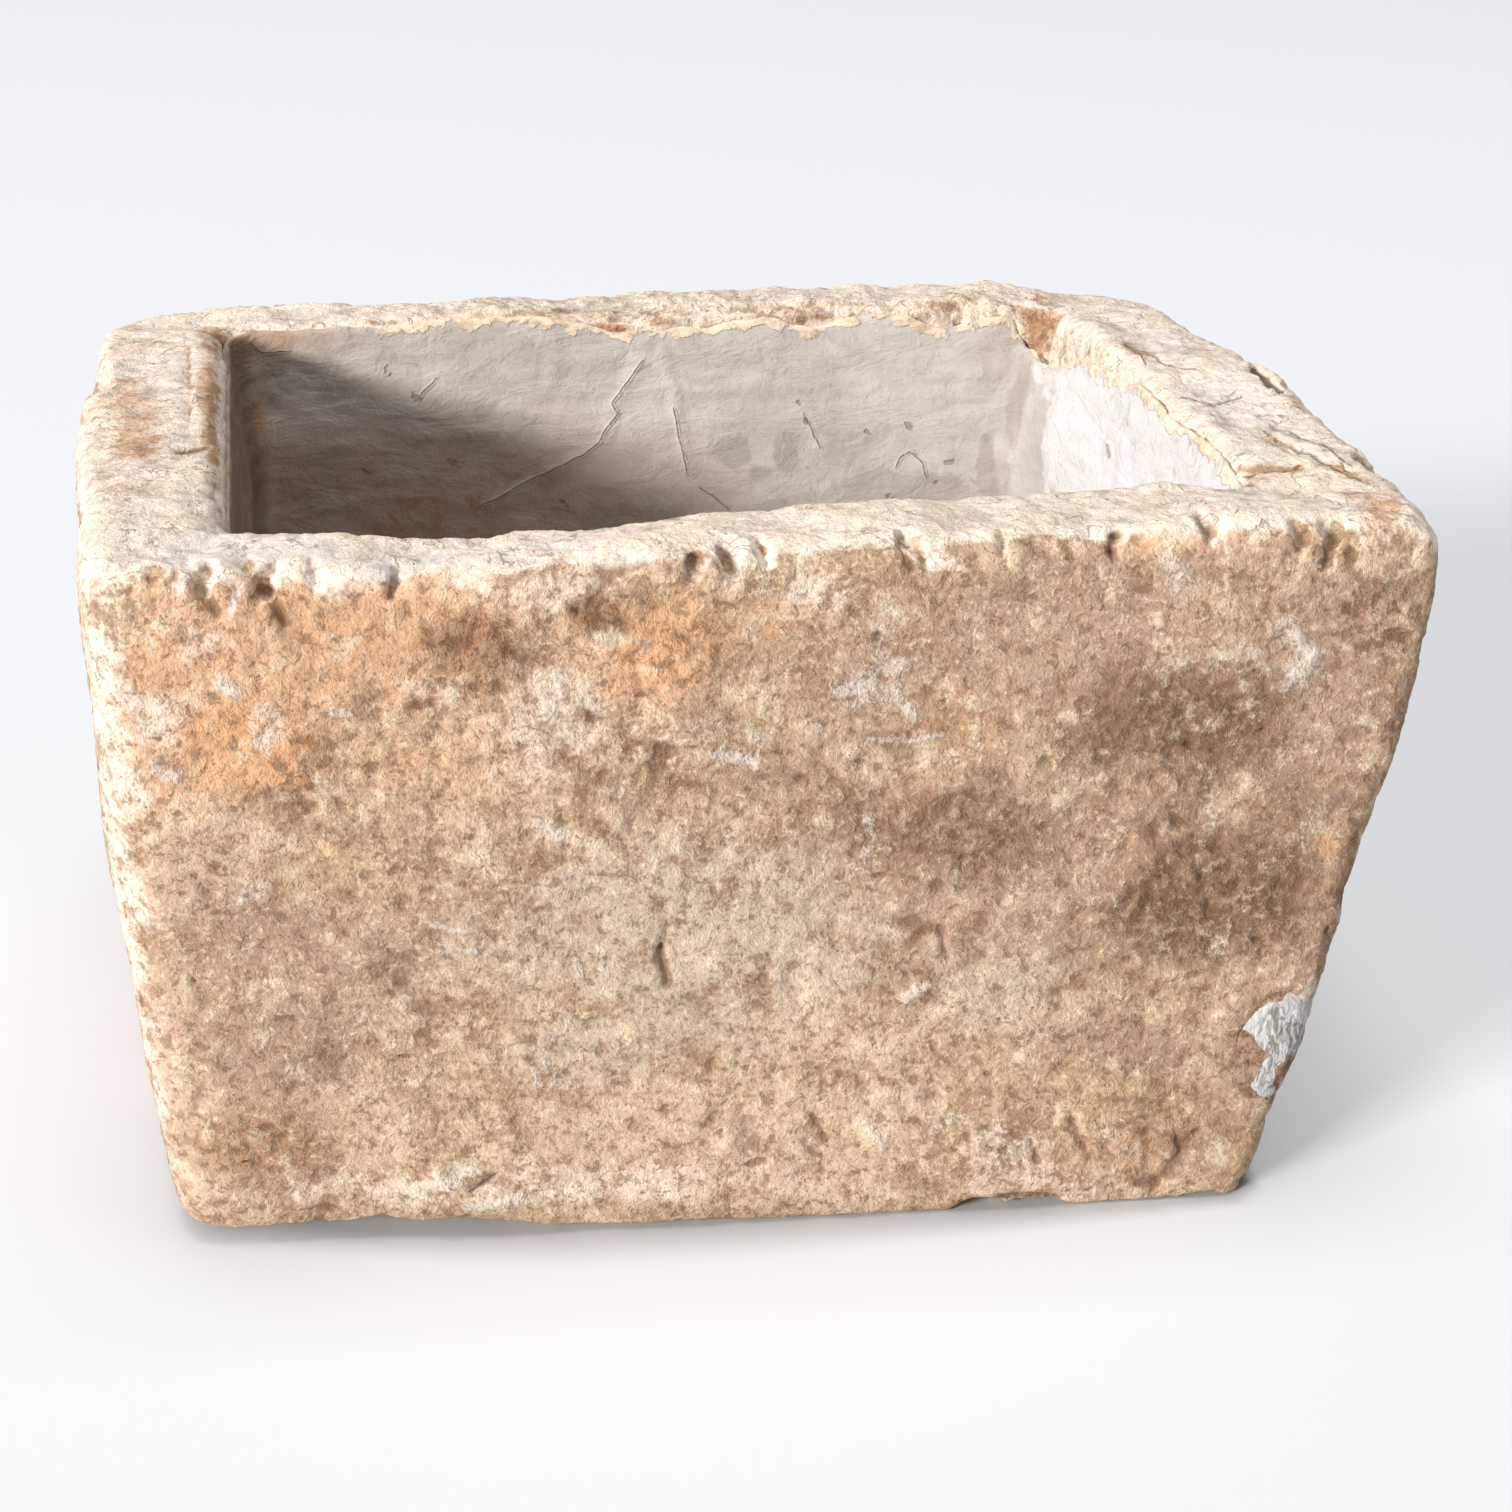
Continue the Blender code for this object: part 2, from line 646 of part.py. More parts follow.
def main():
    clear_scene()
    wall = BasinWall()
    stone = make_stone_trough(wall)
    lining = make_basin_lining(wall)
    mortar = mortar_lump("mortar_patch", MORTAR_GAP)
    notches = chisel_notch_cutter()
    chips = edge_chip_cutter()
    bed = as_cutter(mortar_lump("mortar_bed_cutter", 0.0))
    drill = drain_cutter(wall)
    for cutter in (notches, chips, bed, drill):
        cut(stone, cutter)
    cut(lining, drill)
    finish(stone, STONE_COLOUR, STONE_ROUGHNESS)
    finish(lining, RENDER_COLOUR, RENDER_ROUGHNESS)
    finish(mortar, MORTAR_COLOUR, MORTAR_ROUGHNESS)
    stand_on_origin([stone, lining, mortar, notches, chips, bed, drill])


main()
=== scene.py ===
"""The looks of the stone trough planter.

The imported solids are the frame. The hewn block, its render lining and the mortar patch are each remeshed
finely from their own solid, worn and marked in numpy, and given node materials that read the marks.
Lengths are in metres. Places that follow the photograph are pixels of its 1512 x 1512 frame.
"""
import math
import random

import bpy
import numpy as np
from mathutils import Matrix, Vector, noise
from mathutils.bvhtree import BVHTree


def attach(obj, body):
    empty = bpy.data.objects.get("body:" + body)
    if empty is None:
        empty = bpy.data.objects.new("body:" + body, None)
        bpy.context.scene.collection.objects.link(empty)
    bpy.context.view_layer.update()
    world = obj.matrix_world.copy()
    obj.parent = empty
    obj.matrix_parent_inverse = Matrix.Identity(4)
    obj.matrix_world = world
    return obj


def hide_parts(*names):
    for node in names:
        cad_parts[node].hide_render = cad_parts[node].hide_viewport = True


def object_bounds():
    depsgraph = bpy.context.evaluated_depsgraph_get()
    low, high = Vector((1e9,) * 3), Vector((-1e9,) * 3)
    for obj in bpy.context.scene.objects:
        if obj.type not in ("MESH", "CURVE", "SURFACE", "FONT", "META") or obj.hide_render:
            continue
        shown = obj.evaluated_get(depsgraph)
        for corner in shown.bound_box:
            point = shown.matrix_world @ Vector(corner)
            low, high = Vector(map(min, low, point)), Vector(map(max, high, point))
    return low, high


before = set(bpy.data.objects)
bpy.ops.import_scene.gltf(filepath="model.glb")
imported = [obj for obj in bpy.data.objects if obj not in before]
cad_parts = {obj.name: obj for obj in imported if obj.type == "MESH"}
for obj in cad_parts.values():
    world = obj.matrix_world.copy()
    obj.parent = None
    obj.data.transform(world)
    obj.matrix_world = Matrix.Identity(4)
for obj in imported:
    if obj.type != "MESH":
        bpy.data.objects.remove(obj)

cad_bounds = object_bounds()

MM = 0.001

# The photograph's camera
PHOTO_SIDE = 1512
FOCAL_PIXELS = 2509.5
CAMERA_AT = Vector((-0.13932, -1.18916, 0.67649))
CAMERA_YAW = math.radians(8.2187)
CAMERA_PITCH = math.radians(24.1338)
CAMERA_ROLL = math.radians(-0.6947)
SENSOR = 36.0


def camera_ways():
    """The camera's ways ahead, to the image's right and down it."""
    ahead = Vector((
        math.sin(CAMERA_YAW) * math.cos(CAMERA_PITCH),
        math.cos(CAMERA_YAW) * math.cos(CAMERA_PITCH),
        -math.sin(CAMERA_PITCH),
    ))
    level = Vector((math.cos(CAMERA_YAW), -math.sin(CAMERA_YAW), 0.0))
    steep = ahead.cross(level)
    right = level * math.cos(CAMERA_ROLL) + steep * math.sin(CAMERA_ROLL)
    down = steep * math.cos(CAMERA_ROLL) - level * math.sin(CAMERA_ROLL)
    return ahead, right, down


def placed(name, data):
    """A new object in the scene."""
    thing = bpy.data.objects.new(name, data)
    bpy.context.scene.collection.objects.link(thing)
    return thing


def set_inputs(node, values):
    for name, value in values.items():
        node.inputs[name].default_value = value


def make_camera():
    ahead, right, down = camera_ways()
    data = bpy.data.cameras.new("photo_camera")
    data.sensor_width = SENSOR
    data.lens = FOCAL_PIXELS / PHOTO_SIDE * SENSOR
    data.dof.use_dof = False
    camera = placed("photo_camera", data)
    turn = Matrix((right, -down, -ahead)).transposed().to_4x4()
    camera.matrix_world = Matrix.Translation(CAMERA_AT) @ turn
    bpy.context.scene.camera = camera


# Light: a key from the left and a little in front, a soft box overhead, and a dim surround
KEY_AZIMUTH = math.radians(35.0)
KEY_ELEVATION = math.radians(18.0)
KEY_DISTANCE = 30.0
KEY_SIZE = (8.6, 3.9)
KEY_POWER = 12100.0
KEY_COLOUR = (1.0, 0.985, 0.96)
TOP_HEIGHT = 20.0
TOP_SIZE = (10.0, 10.0)
TOP_POWER = 2760.0
TOP_COLOUR = (0.97, 0.98, 1.0)
WORLD_COLOUR = (0.93, 0.96, 1.0, 1.0)
WORLD_STRENGTH = 0.16

# The floor glows a little, and less in a narrow band of shade about the block's foot
STAGE_ROUGHNESS = 0.9
STAGE_GLOW = (0.88, 0.885, 0.90, 1.0)
FLOOR_COLOUR = (0.52, 0.525, 0.54, 1.0)
FLOOR_GLOW_STRENGTH = 0.32
FLOOR_REACH = 60.0
SHADE_AT_SIDES = 5 * MM
SHADE_IN_FRONT = 26 * MM
SHADE_LEFTWARD_SHARE = 0.6
OUTLINE_STEPS = 120
OUTLINE_FACING_LEAST = 0.1
FOOT_LEVEL = 4 * MM
BACKDROP_COLOUR = (0.0, 0.0, 0.0, 1.0)
BACKDROP_RADIUS = 20.0
BACKDROP_HEIGHT = 1.6
BACKDROP_STEPS = 64
BACKDROP_GLOW_STRENGTH = 0.95


def area_light(name, at, target, size, power, colour):
    data = bpy.data.lights.new(name, "AREA")
    data.shape = "RECTANGLE"
    data.size, data.size_y = size
    data.energy = power
    data.color = colour
    light = placed(name, data)
    light.location = at
    light.rotation_mode = "QUATERNION"
    light.rotation_quaternion = (target - at).to_track_quat("-Z", "Y")


def make_lights():
    centre = (cad_bounds[0] + cad_bounds[1]) / 2
    back = Vector((
        -math.cos(KEY_AZIMUTH) * math.cos(KEY_ELEVATION),
        -math.sin(KEY_AZIMUTH) * math.cos(KEY_ELEVATION),
        math.sin(KEY_ELEVATION),
    ))
    area_light("key_light", centre + back * KEY_DISTANCE, centre, KEY_SIZE, KEY_POWER, KEY_COLOUR)
    area_light("top_light", Vector((0.0, 0.0, TOP_HEIGHT)), Vector(), TOP_SIZE, TOP_POWER, TOP_COLOUR)
    world = bpy.data.worlds.new("surround")
    world.use_nodes = True
    set_inputs(world.node_tree.nodes["Background"], {"Color": WORLD_COLOUR, "Strength": WORLD_STRENGTH})
    bpy.context.scene.world = world
    bpy.context.scene.view_settings.view_transform = "Standard"


def stage_piece(name, corners, faces, colour, glow_strength):
    mesh = bpy.data.meshes.new(name)
    mesh.from_pydata(corners, [], faces)
    piece = placed(name, mesh)
    material = bpy.data.materials.new(name)
    material.use_nodes = True
    shader = material.node_tree.nodes["Principled BSDF"]
    set_inputs(shader, {"Base Color": colour, "Roughness": STAGE_ROUGHNESS})
    set_inputs(shader, {"Emission Color": STAGE_GLOW, "Emission Strength": glow_strength})
    mesh.materials.append(material)
    return piece


def foot_outline():
    """The ways out from the middle, and how far the block's foot reaches along each."""
    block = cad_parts["stone_trough"].data
    low = np.array([corner.co[:2] for corner in block.vertices if corner.co.z < FOOT_LEVEL])
    turns = np.linspace(0.0, math.tau, OUTLINE_STEPS, endpoint=False)
    ways = np.stack((np.cos(turns), np.sin(turns)), axis=1)
    supports = (low @ ways.T).max(axis=0)
    facing = ways @ ways.T
    reaches = supports / np.maximum(facing, OUTLINE_FACING_LEAST)
    reaches[facing <= OUTLINE_FACING_LEAST] = np.inf
    return ways, reaches.min(axis=1)


def make_floor():
    """A flat floor whose own glow fades out towards the foot, and is off under the block."""
    ways, foot = foot_outline()
    in_front = np.clip(-ways[:, 1], 0.0, 1.0) * (1.0 - SHADE_LEFTWARD_SHARE * ways[:, 0])
    shaded = foot + SHADE_AT_SIDES + SHADE_IN_FRONT * in_front
    rings = [ways * reach[:, None] for reach in (foot, shaded, np.full(OUTLINE_STEPS, FLOOR_REACH))]
    corners = [(x, y, 0.0) for ring in rings for x, y in ring.tolist()]
    faces = [tuple(range(OUTLINE_STEPS))]
    for start in (0, OUTLINE_STEPS):
        for step in range(OUTLINE_STEPS):
            after = (step + 1) % OUTLINE_STEPS
            beyond = start + OUTLINE_STEPS
            faces.append((start + step, beyond + step, beyond + after, start + after))
    floor = stage_piece("floor", corners, faces, FLOOR_COLOUR, FLOOR_GLOW_STRENGTH)
    lit = floor.data.attributes.new("lit", "FLOAT", "POINT")
    lit.data.foreach_set("value", [0.0] * OUTLINE_STEPS + [1.0] * 2 * OUTLINE_STEPS)
    tree = floor.data.materials[0].node_tree
    read = tree.nodes.new("ShaderNodeAttribute")
    read.attribute_name = "lit"
    glow = tree.nodes.new("ShaderNodeMapRange")
    glow.interpolation_type = "SMOOTHSTEP"
    glow.inputs["To Max"].default_value = FLOOR_GLOW_STRENGTH
    tree.links.new(read.outputs["Fac"], glow.inputs["Value"])
    tree.links.new(glow.outputs["Result"], tree.nodes["Principled BSDF"].inputs["Emission Strength"])


def make_backdrop():
    ring = []
    for step in range(BACKDROP_STEPS):
        angle = math.tau * step / BACKDROP_STEPS
        x = BACKDROP_RADIUS * math.cos(angle)
        y = BACKDROP_RADIUS * math.sin(angle)
        ring += [(x, y, 0), (x, y, BACKDROP_HEIGHT)]
    count = len(ring)
    walls = [(i, i + 1, (i + 3) % count, (i + 2) % count) for i in range(0, count, 2)]
    stage_piece("backdrop", ring, walls, BACKDROP_COLOUR, BACKDROP_GLOW_STRENGTH)


# Lumps, here and below: the wave across, the octaves, the place in the pattern and any stretch
RAGGED_LUMPS = (9 * MM, 3, 3.7)
WANDER_LUMPS = (45 * MM, 3, 8.1)

# How squarely the camera sees a point that takes marks from the photograph
SEEN_FACING = (0.02, 0.16)
PATCH_CORE_SHARE = 0.15
PATCH_RAGGED_SHARE = 0.5
CRACK_NEARNESS = 9.0
CRACK_SEEN = 0.1
HIDDEN_KEPT_SHARE = 0.1
REACH_LIMIT = 30 * MM


def eased(low, high, value):
    """0 below low, 1 above high and a smooth step between, also where low is the larger."""
    share = np.clip((value - low) / (high - low), 0.0, 1.0)
    return share * share * (3.0 - 2.0 * share)


def lumps(points, wave, octaves, place, stretch=1.0):
    """Smooth lumps from about -1 to 1, a wave across; place picks another part of the pattern."""
    spots = (points * stretch / wave + place).tolist()
    return np.array([noise.fractal(spot, 1.0, 2.0, octaves) for spot in spots])


def photo_pixels(points):
    """The photograph's pixel of each point, and its way from the camera."""
    ahead, right, down = (np.array(way) for way in camera_ways())
    away = points - np.array(CAMERA_AT)
    sideways = np.stack((away @ right, away @ down), axis=1)
    return PHOTO_SIDE / 2 + FOCAL_PIXELS * sideways / (away @ ahead)[:, None], away


class Surface:
    """A solid's mesh remeshed finely, and the numbers over it that wear and marks are worked out in."""

    def __init__(self, node_name, voxel, smoothing):
        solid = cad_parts[node_name]
        copy = placed(node_name + "_copy", solid.data.copy())
        fine = copy.modifiers.new("fine", "REMESH")
        fine.mode = "VOXEL"
        fine.voxel_size = voxel
        soft = copy.modifiers.new("soft", "SMOOTH")
        soft.iterations = smoothing
        graph = bpy.context.evaluated_depsgraph_get()
        self.mesh = bpy.data.meshes.new_from_object(copy.evaluated_get(graph))
        bpy.data.objects.remove(copy)
        self.count = len(self.mesh.vertices)
        self.points = self.read(self.mesh.vertices, "co")
        self.normals = self.read(self.mesh.vertex_normals, "vector")
        self.pixels, away = photo_pixels(self.points)
        facing = -(self.normals * away).sum(axis=1) / np.linalg.norm(away, axis=1)
        self.seen = eased(*SEEN_FACING, facing)
        self.ragged = lumps(self.points, *RAGGED_LUMPS)
        self.wander = lumps(self.points, *WANDER_LUMPS)
        self.height = np.zeros(self.count)
        self.masks = {}

    def read(self, items, name):
        values = np.empty(self.count * 3, np.float32)
        items.foreach_get(name, values)
        return values.reshape(-1, 3).astype(float)

    def distance_to(self, node_name, reach=REACH_LIMIT):
        """How far each point is from another solid, up to the reach."""
        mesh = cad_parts[node_name].data
        corners = [corner.co for corner in mesh.vertices]
        tree = BVHTree.FromPolygons(corners, [tuple(face.vertices) for face in mesh.polygons])
        found = (tree.find_nearest(point, reach)[3] for point in self.points.tolist())
        return np.array([reach if distance is None else distance for distance in found])

    def near_line(self, line, margin, least_seen=0.0):
        """The points near a line of photograph pixels, and how far each is to one side of it, in pixels."""
        line = np.array(line, float)
        low = line.min(axis=0) - margin
        high = line.max(axis=0) + margin
        inside = ((self.pixels > low) & (self.pixels < high)).all(axis=1) & (self.seen > least_seen)
        near = np.flatnonzero(inside)
        sideways = np.full(len(near), np.inf)
        for start, end in zip(line, line[1:]):
            way = end - start
            off = self.pixels[near] - start
            along = np.clip(off @ way / (way @ way), 0.0, 1.0)
            away = np.linalg.norm(off - along[:, None] * way, axis=1)
            side = np.where(way[0] * off[:, 1] - way[1] * off[:, 0] < 0, -1.0, 1.0)
            closer = away < np.abs(sideways)
            sideways[closer] = (away * side)[closer]
        return near, sideways

    def stroke(self, half_width, line, rough=0.45):
        """1 on a line of photograph pixels, easing to 0 at its half width, with a ragged edge."""
        near, sideways = self.near_line(line, 2 * half_width)
        away = np.abs(sideways) * (1.0 + rough * self.ragged[near])
        result = np.zeros(self.count)
        result[near] = eased(half_width, 0.0, away) * self.seen[near]
        return result

    def patch(self, x, y, half_width, half_height, turn=0.0, rough=0.5):
        """1 at a photograph pixel, easing to 0 at the edge of an ellipse with a wandering outline."""
        across = self.pixels - np.array((x, y), float)
        angle = math.radians(turn)
        along = (across[:, 0] * math.cos(angle) + across[:, 1] * math.sin(angle)) / half_width
        beside = (across[:, 1] * math.cos(angle) - across[:, 0] * math.sin(angle)) / half_height
        out = np.hypot(along, beside) * (1.0 + rough * (self.wander + PATCH_RAGGED_SHARE * self.ragged))
        return eased(1.0, PATCH_CORE_SHARE, out) * self.seen

    def strokes(self, table):
        """The strongest of a table's strokes at each point."""
        most = np.zeros(self.count)
        for strength, half_width, *line in table:
            most = np.maximum(most, strength * self.stroke(half_width, line))
        return most

    def patches(self, table, rough=0.5):
        """The strongest of a table's patches at each point."""
        most = np.zeros(self.count)
        for *shape, strength in table:
            most = np.maximum(most, strength * self.patch(*shape, rough=rough))
        return most

    def crack(self, lines):
        """Masks of how far each point is to one side of the nearest line, in pixels, and how near it is."""
        signed = np.full(self.count, CRACK_NEARNESS)
        for line in lines:
            near, sideways = self.near_line(line, CRACK_NEARNESS, CRACK_SEEN)
            closer = np.abs(sideways) < np.abs(signed[near])
            signed[near[closer]] = sideways[closer]
        self.masks["crack"] = signed
        self.masks["crack_near"] = np.clip(1.0 - np.abs(signed) / CRACK_NEARNESS, 0.0, 1.0)

    def add(self, name, values):
        """Adds to a mask that a material reads."""
        self.masks[name] = np.maximum(self.masks.get(name, 0.0), values)

    def piece(self, name, node_name, slot, material, hidden=None):
        """The finished piece: moved by its height, thinned where it is hidden, and standing for its node."""
        moved = self.points + self.normals * self.height[:, None]
        self.mesh.vertices.foreach_set("co", moved.astype(np.float32).ravel())
        for mask_name, values in self.masks.items():
            attribute = self.mesh.attributes.new(mask_name, "FLOAT", "POINT")
            attribute.data.foreach_set("value", np.asarray(values, np.float32))
        piece = placed(name, self.mesh)
        if hidden is not None:
            numbers = np.flatnonzero(hidden)
            group = piece.vertex_groups.new(name="hidden")
            group.add(numbers.tolist(), 1.0, "REPLACE")
            fewer = piece.modifiers.new("fewer", "DECIMATE")
            fewer.vertex_group = "hidden"
            fewer.ratio = 1.0 - (1.0 - HIDDEN_KEPT_SHARE) * len(numbers) / self.count
            graph = bpy.context.evaluated_depsgraph_get()
            mesh = bpy.data.meshes.new_from_object(piece.evaluated_get(graph))
            piece.modifiers.clear()
            piece.vertex_groups.clear()
            piece.data = mesh
            bpy.data.meshes.remove(self.mesh)
            self.mesh = mesh
        self.mesh.polygons.foreach_set("use_smooth", [True] * len(self.mesh.polygons))
        self.mesh.materials.clear()
        self.mesh.materials.append(material)
        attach(piece, "root")
        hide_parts(node_name)


# Materials
SPECULAR_LEVEL = 0.25
CRACK_WANDER = 5.0


class Nodes:
    """Short ways to put a material together, whose colour is laid on coat over coat."""

    def __init__(self, name, roughness, colour):
        self.material = bpy.data.materials.new(name)
        self.material.use_nodes = True
        self.tree = self.material.node_tree
        self.shader = self.tree.nodes["Principled BSDF"]
        set_inputs(self.shader, {"Roughness": roughness, "Specular IOR Level": SPECULAR_LEVEL})
        self.place = self.tree.nodes.new("ShaderNodeTexCoord").outputs["Object"]
        self.colour = colour

    def add(self, kind, inputs, output=0, **settings):
        node = self.tree.nodes.new("ShaderNode" + kind)
        for key, value in settings.items():
            setattr(node, key, value)
        for socket, value in inputs.items():
            if isinstance(value, bpy.types.NodeSocket):
                self.tree.links.new(value, node.inputs[socket])
            else:
                node.inputs[socket].default_value = value
        return node.outputs[output]

    def noise(self, wave, detail, rough, bend=0.0, stretch=None):
        """A noise from 0 to 1; stretch multiplies each axis, which draws it out along the others."""
        place = self.place
        if stretch:
            place = self.add("VectorMath", {0: place, 1: stretch}, operation="MULTIPLY")
        inputs = {"Vector": place, "Scale": 1.0 / wave, "Detail": detail,
                  "Roughness": rough, "Distortion": bend}
        return self.add("TexNoise", inputs)

    def mask(self, name):
        return self.add("Attribute", {}, "Fac", attribute_name=name)

    def ramp(self, value, low, high, least=0.0, most=1.0):
        """A smooth step from least at low to most at high."""
        inputs = {"Value": value, "From Min": low, "From Max": high, "To Min": least, "To Max": most}
        if low > high:
            inputs.update({"From Min": high, "From Max": low, "To Min": most, "To Max": least})
        return self.add("MapRange", inputs, interpolation_type="SMOOTHSTEP")

    def scaled(self, mask, off, on):
        """A number that is off where the mask is 0 and on where it is 1."""
        return self.ramp(mask, 0.0, 1.0, off, on)

    def math(self, operation, total, *others):
        """The first value put together with each of the others in turn."""
        for other in others:
            total = self.add("Math", {0: total, 1: other}, operation=operation)
        return total

    def sum(self, *values):
        return self.math("ADD", *values)

    def times(self, *values):
        return self.math("MULTIPLY", *values)

    def greatest(self, *values):
        return self.math("MAXIMUM", *values)

    def off_middle(self, value, middle=0.5):
        """How far a value is from a middle, either way."""
        return self.add("Math", {0: self.math("SUBTRACT", value, middle)}, operation="ABSOLUTE")

    def grainy(self, value, grain, amount):
        """A value moved up and down by a noise."""
        return self.sum(value, self.times(self.sum(grain, -0.5), amount))

    def broken(self, mask, grain, amount=0.6, low=0.34, high=0.66):
        """A mask whose edge is eaten by a noise."""
        return self.ramp(self.grainy(mask, grain, amount), low, high)

    def split(self, grain, wide, narrow):
        """How far off the wandering crack line is, and the split that it opens."""
        line = self.off_middle(self.grainy(self.mask("crack"), grain, CRACK_WANDER), 0.0)
        return line, self.times(self.ramp(line, wide, narrow), self.ramp(self.mask("crack_near"), 0.5, 0.8))

    def mix(self, share, under, over):
        return self.add("Mix", {0: share, 6: under, 7: over}, 2, data_type="RGBA", blend_type="MIX")

    def lay(self, colour, share, most=None):
        """Lays a colour over those so far, as much as the share says, times most."""
        if most is not None:
            share = self.times(share, most)
        self.colour = self.mix(share, self.colour, colour)

    def finish(self, height, reach):
        self.tree.links.new(self.colour, self.shader.inputs["Base Color"])
        bump = self.add("Bump", {"Height": height, "Distance": reach, "Strength": 1.0})
        self.tree.links.new(bump, self.shader.inputs["Normal"])
        return self.material


def rgb(red, green, blue):
    return (red, green, blue, 1.0)


# The stone's colours, in the order that they lie over each other
STONE_BASE = rgb(0.59, 0.405, 0.27)
STONE_DULL = rgb(0.43, 0.28, 0.18)
STONE_SHADES = (
    ("ash", rgb(0.56, 0.445, 0.34)),
    ("peach", rgb(0.65, 0.455, 0.33)),
    ("mauve", rgb(0.46, 0.30, 0.215)),
    ("salmon", rgb(0.70, 0.41, 0.245)),
    ("ochre", rgb(0.60, 0.40, 0.22)),
    ("rust", rgb(0.43, 0.225, 0.115)),
    ("orange", rgb(0.78, 0.425, 0.22)),
    ("umber", rgb(0.235, 0.135, 0.085)),
    ("cream", rgb(0.90, 0.78, 0.665)),
    ("plaster", rgb(0.78, 0.715, 0.67)),
)
STONE_STAIN = rgb(0.36, 0.215, 0.13)
STONE_CREVICE = rgb(0.17, 0.085, 0.045)
STONE_PALE_GRAIN = rgb(0.90, 0.72, 0.50)
STONE_LIME = rgb(0.80, 0.72, 0.64)
STONE_ROUGHNESS = 0.92

# Its noises: each one's wave across, detail, roughness and distortion, and the reach of the bump
STONE_CLUMPS = (7.0 * MM, 5.0, 0.72, 0.3)
STONE_GRIT = (2.8 * MM, 3.0, 0.75)
STONE_MOTTLE = (17 * MM, 7.0, 0.72, 0.3)
STONE_CLOUD = (60 * MM, 3.0, 0.6, 0.4)
STONE_LEVEL = (24 * MM, 4.0, 0.55, 0.6)
STONE_BUMP = 2.0 * MM

# Shades with fewer pale flecks: where the shade is full, and the share of the flecks that is left there
FEWER_FLECKS = (("umber", 1.0, 0.45), ("rust", 1.0, 0.55), ("orange", 1.0, 0.7), ("salmon", 1.2, 0.75))


def stone_material():
    nodes = Nodes("hewn_limestone", STONE_ROUGHNESS, STONE_DULL)
    clumps = nodes.noise(*STONE_CLUMPS)
    grit = nodes.noise(*STONE_GRIT)
    mottle = nodes.noise(*STONE_MOTTLE)
    rim = nodes.mask("rim")
    crumbly = nodes.mask("crumbly")
    relief = nodes.mask("relief")
    nodes.lay(STONE_BASE, nodes.ramp(mottle, 0.40, 0.60))
    edge = nodes.sum(nodes.times(mottle, 0.65), nodes.times(grit, 0.35))
    for shade, tint in STONE_SHADES:
        nodes.lay(tint, nodes.broken(nodes.mask(shade), edge, 2.8, 0.12, 0.88), 0.9)
    nodes.lay(STONE_STAIN, nodes.times(nodes.ramp(mottle, 0.50, 0.37), nodes.scaled(rim, 0.66, 0.22)))
    nodes.lay(STONE_PALE_GRAIN, nodes.times(nodes.ramp(mottle, 0.53, 0.66), nodes.scaled(rim, 0.52, 0.12)))

    flecks = nodes.greatest(nodes.times(nodes.ramp(grit, 0.53, 0.66), 0.75), nodes.ramp(clumps, 0.54, 0.68))
    pale = nodes.times(flecks, nodes.ramp(nodes.noise(*STONE_CLOUD), 0.32, 0.62, 0.45, 0.72))
    pale = nodes.greatest(pale, nodes.times(nodes.ramp(relief, 0.55, 0.82), 0.5))
    for shade, full, left in FEWER_FLECKS:
        pale = nodes.times(pale, nodes.ramp(nodes.mask(shade), 0.2, full, 1.0, left))
    nodes.lay(STONE_PALE_GRAIN, pale)

    gap = nodes.ramp(clumps, 0.46, 0.38, 0.0, 0.75)
    wide_gap = nodes.times(nodes.ramp(clumps, 0.50, 0.42), crumbly)
    speck = nodes.ramp(grit, 0.44, 0.30, 0.0, 0.85)
    # Painted shade in dents and pits: darker where the relief is lower, less on the rim
    painted_recess_shade = nodes.ramp(nodes.grainy(relief, clumps, 0.7), 0.36, 0.10, 0.0, 0.85)
    painted_recess_shade = nodes.times(painted_recess_shade, nodes.scaled(rim, 1.0, 0.4))
    level = nodes.off_middle(nodes.noise(*STONE_LEVEL))
    flake_line = nodes.times(nodes.ramp(level, 0.010, 0.003), nodes.ramp(mottle, 0.47, 0.56))
    flake_line = nodes.times(flake_line, nodes.scaled(rim, 0.25, 1.0))
    calm = nodes.scaled(nodes.mask("calm"), 1.0, 0.65)
    dark = nodes.greatest(gap, speck, wide_gap)
    dark = nodes.times(dark, calm, nodes.scaled(rim, 1.0, 0.45))
    dark = nodes.greatest(dark, painted_recess_shade, nodes.times(flake_line, 0.6))
    nodes.lay(STONE_CREVICE, dark, 0.80)

    crust = nodes.sum(nodes.times(grit, 0.5), nodes.times(clumps, 0.5))
    lime = nodes.broken(nodes.mask("lime"), crust, 3.4, 0.20, 1.1)
    nodes.lay(STONE_LIME, lime, 0.66)
    split = nodes.times(nodes.split(clumps, 1.5, 0.3)[1], nodes.ramp(mottle, 0.40, 0.50))
    nodes.lay(STONE_CREVICE, split, 0.5)
    height = nodes.times(clumps, nodes.scaled(crumbly, 1.4, 2.0))
    height = nodes.sum(height, nodes.times(grit, 0.45), nodes.times(split, -0.8), nodes.times(lime, 0.2))
    height = nodes.sum(height, nodes.times(flake_line, -0.4))
    return nodes.finish(nodes.times(height, calm), STONE_BUMP)


LINING_BASE = rgb(0.60, 0.55, 0.51)
LINING_DULL = rgb(0.53, 0.475, 0.435)
# Painted light: the paler colour of the right wall, where it faces the key light
LINING_PAINTED_LIGHT = rgb(0.68, 0.655, 0.65)
# The painted shadow's colour, warm brown like light bounced off the stone
LINING_PAINTED_SHADE = rgb(0.41, 0.26, 0.145)
LINING_DAMP = rgb(0.36, 0.31, 0.27)
LINING_DARK = rgb(0.20, 0.145, 0.105)
BARE_RUST = rgb(0.64, 0.48, 0.34)
BARE_CREAM = rgb(0.80, 0.67, 0.52)
LINING_ROUGHNESS = 0.88

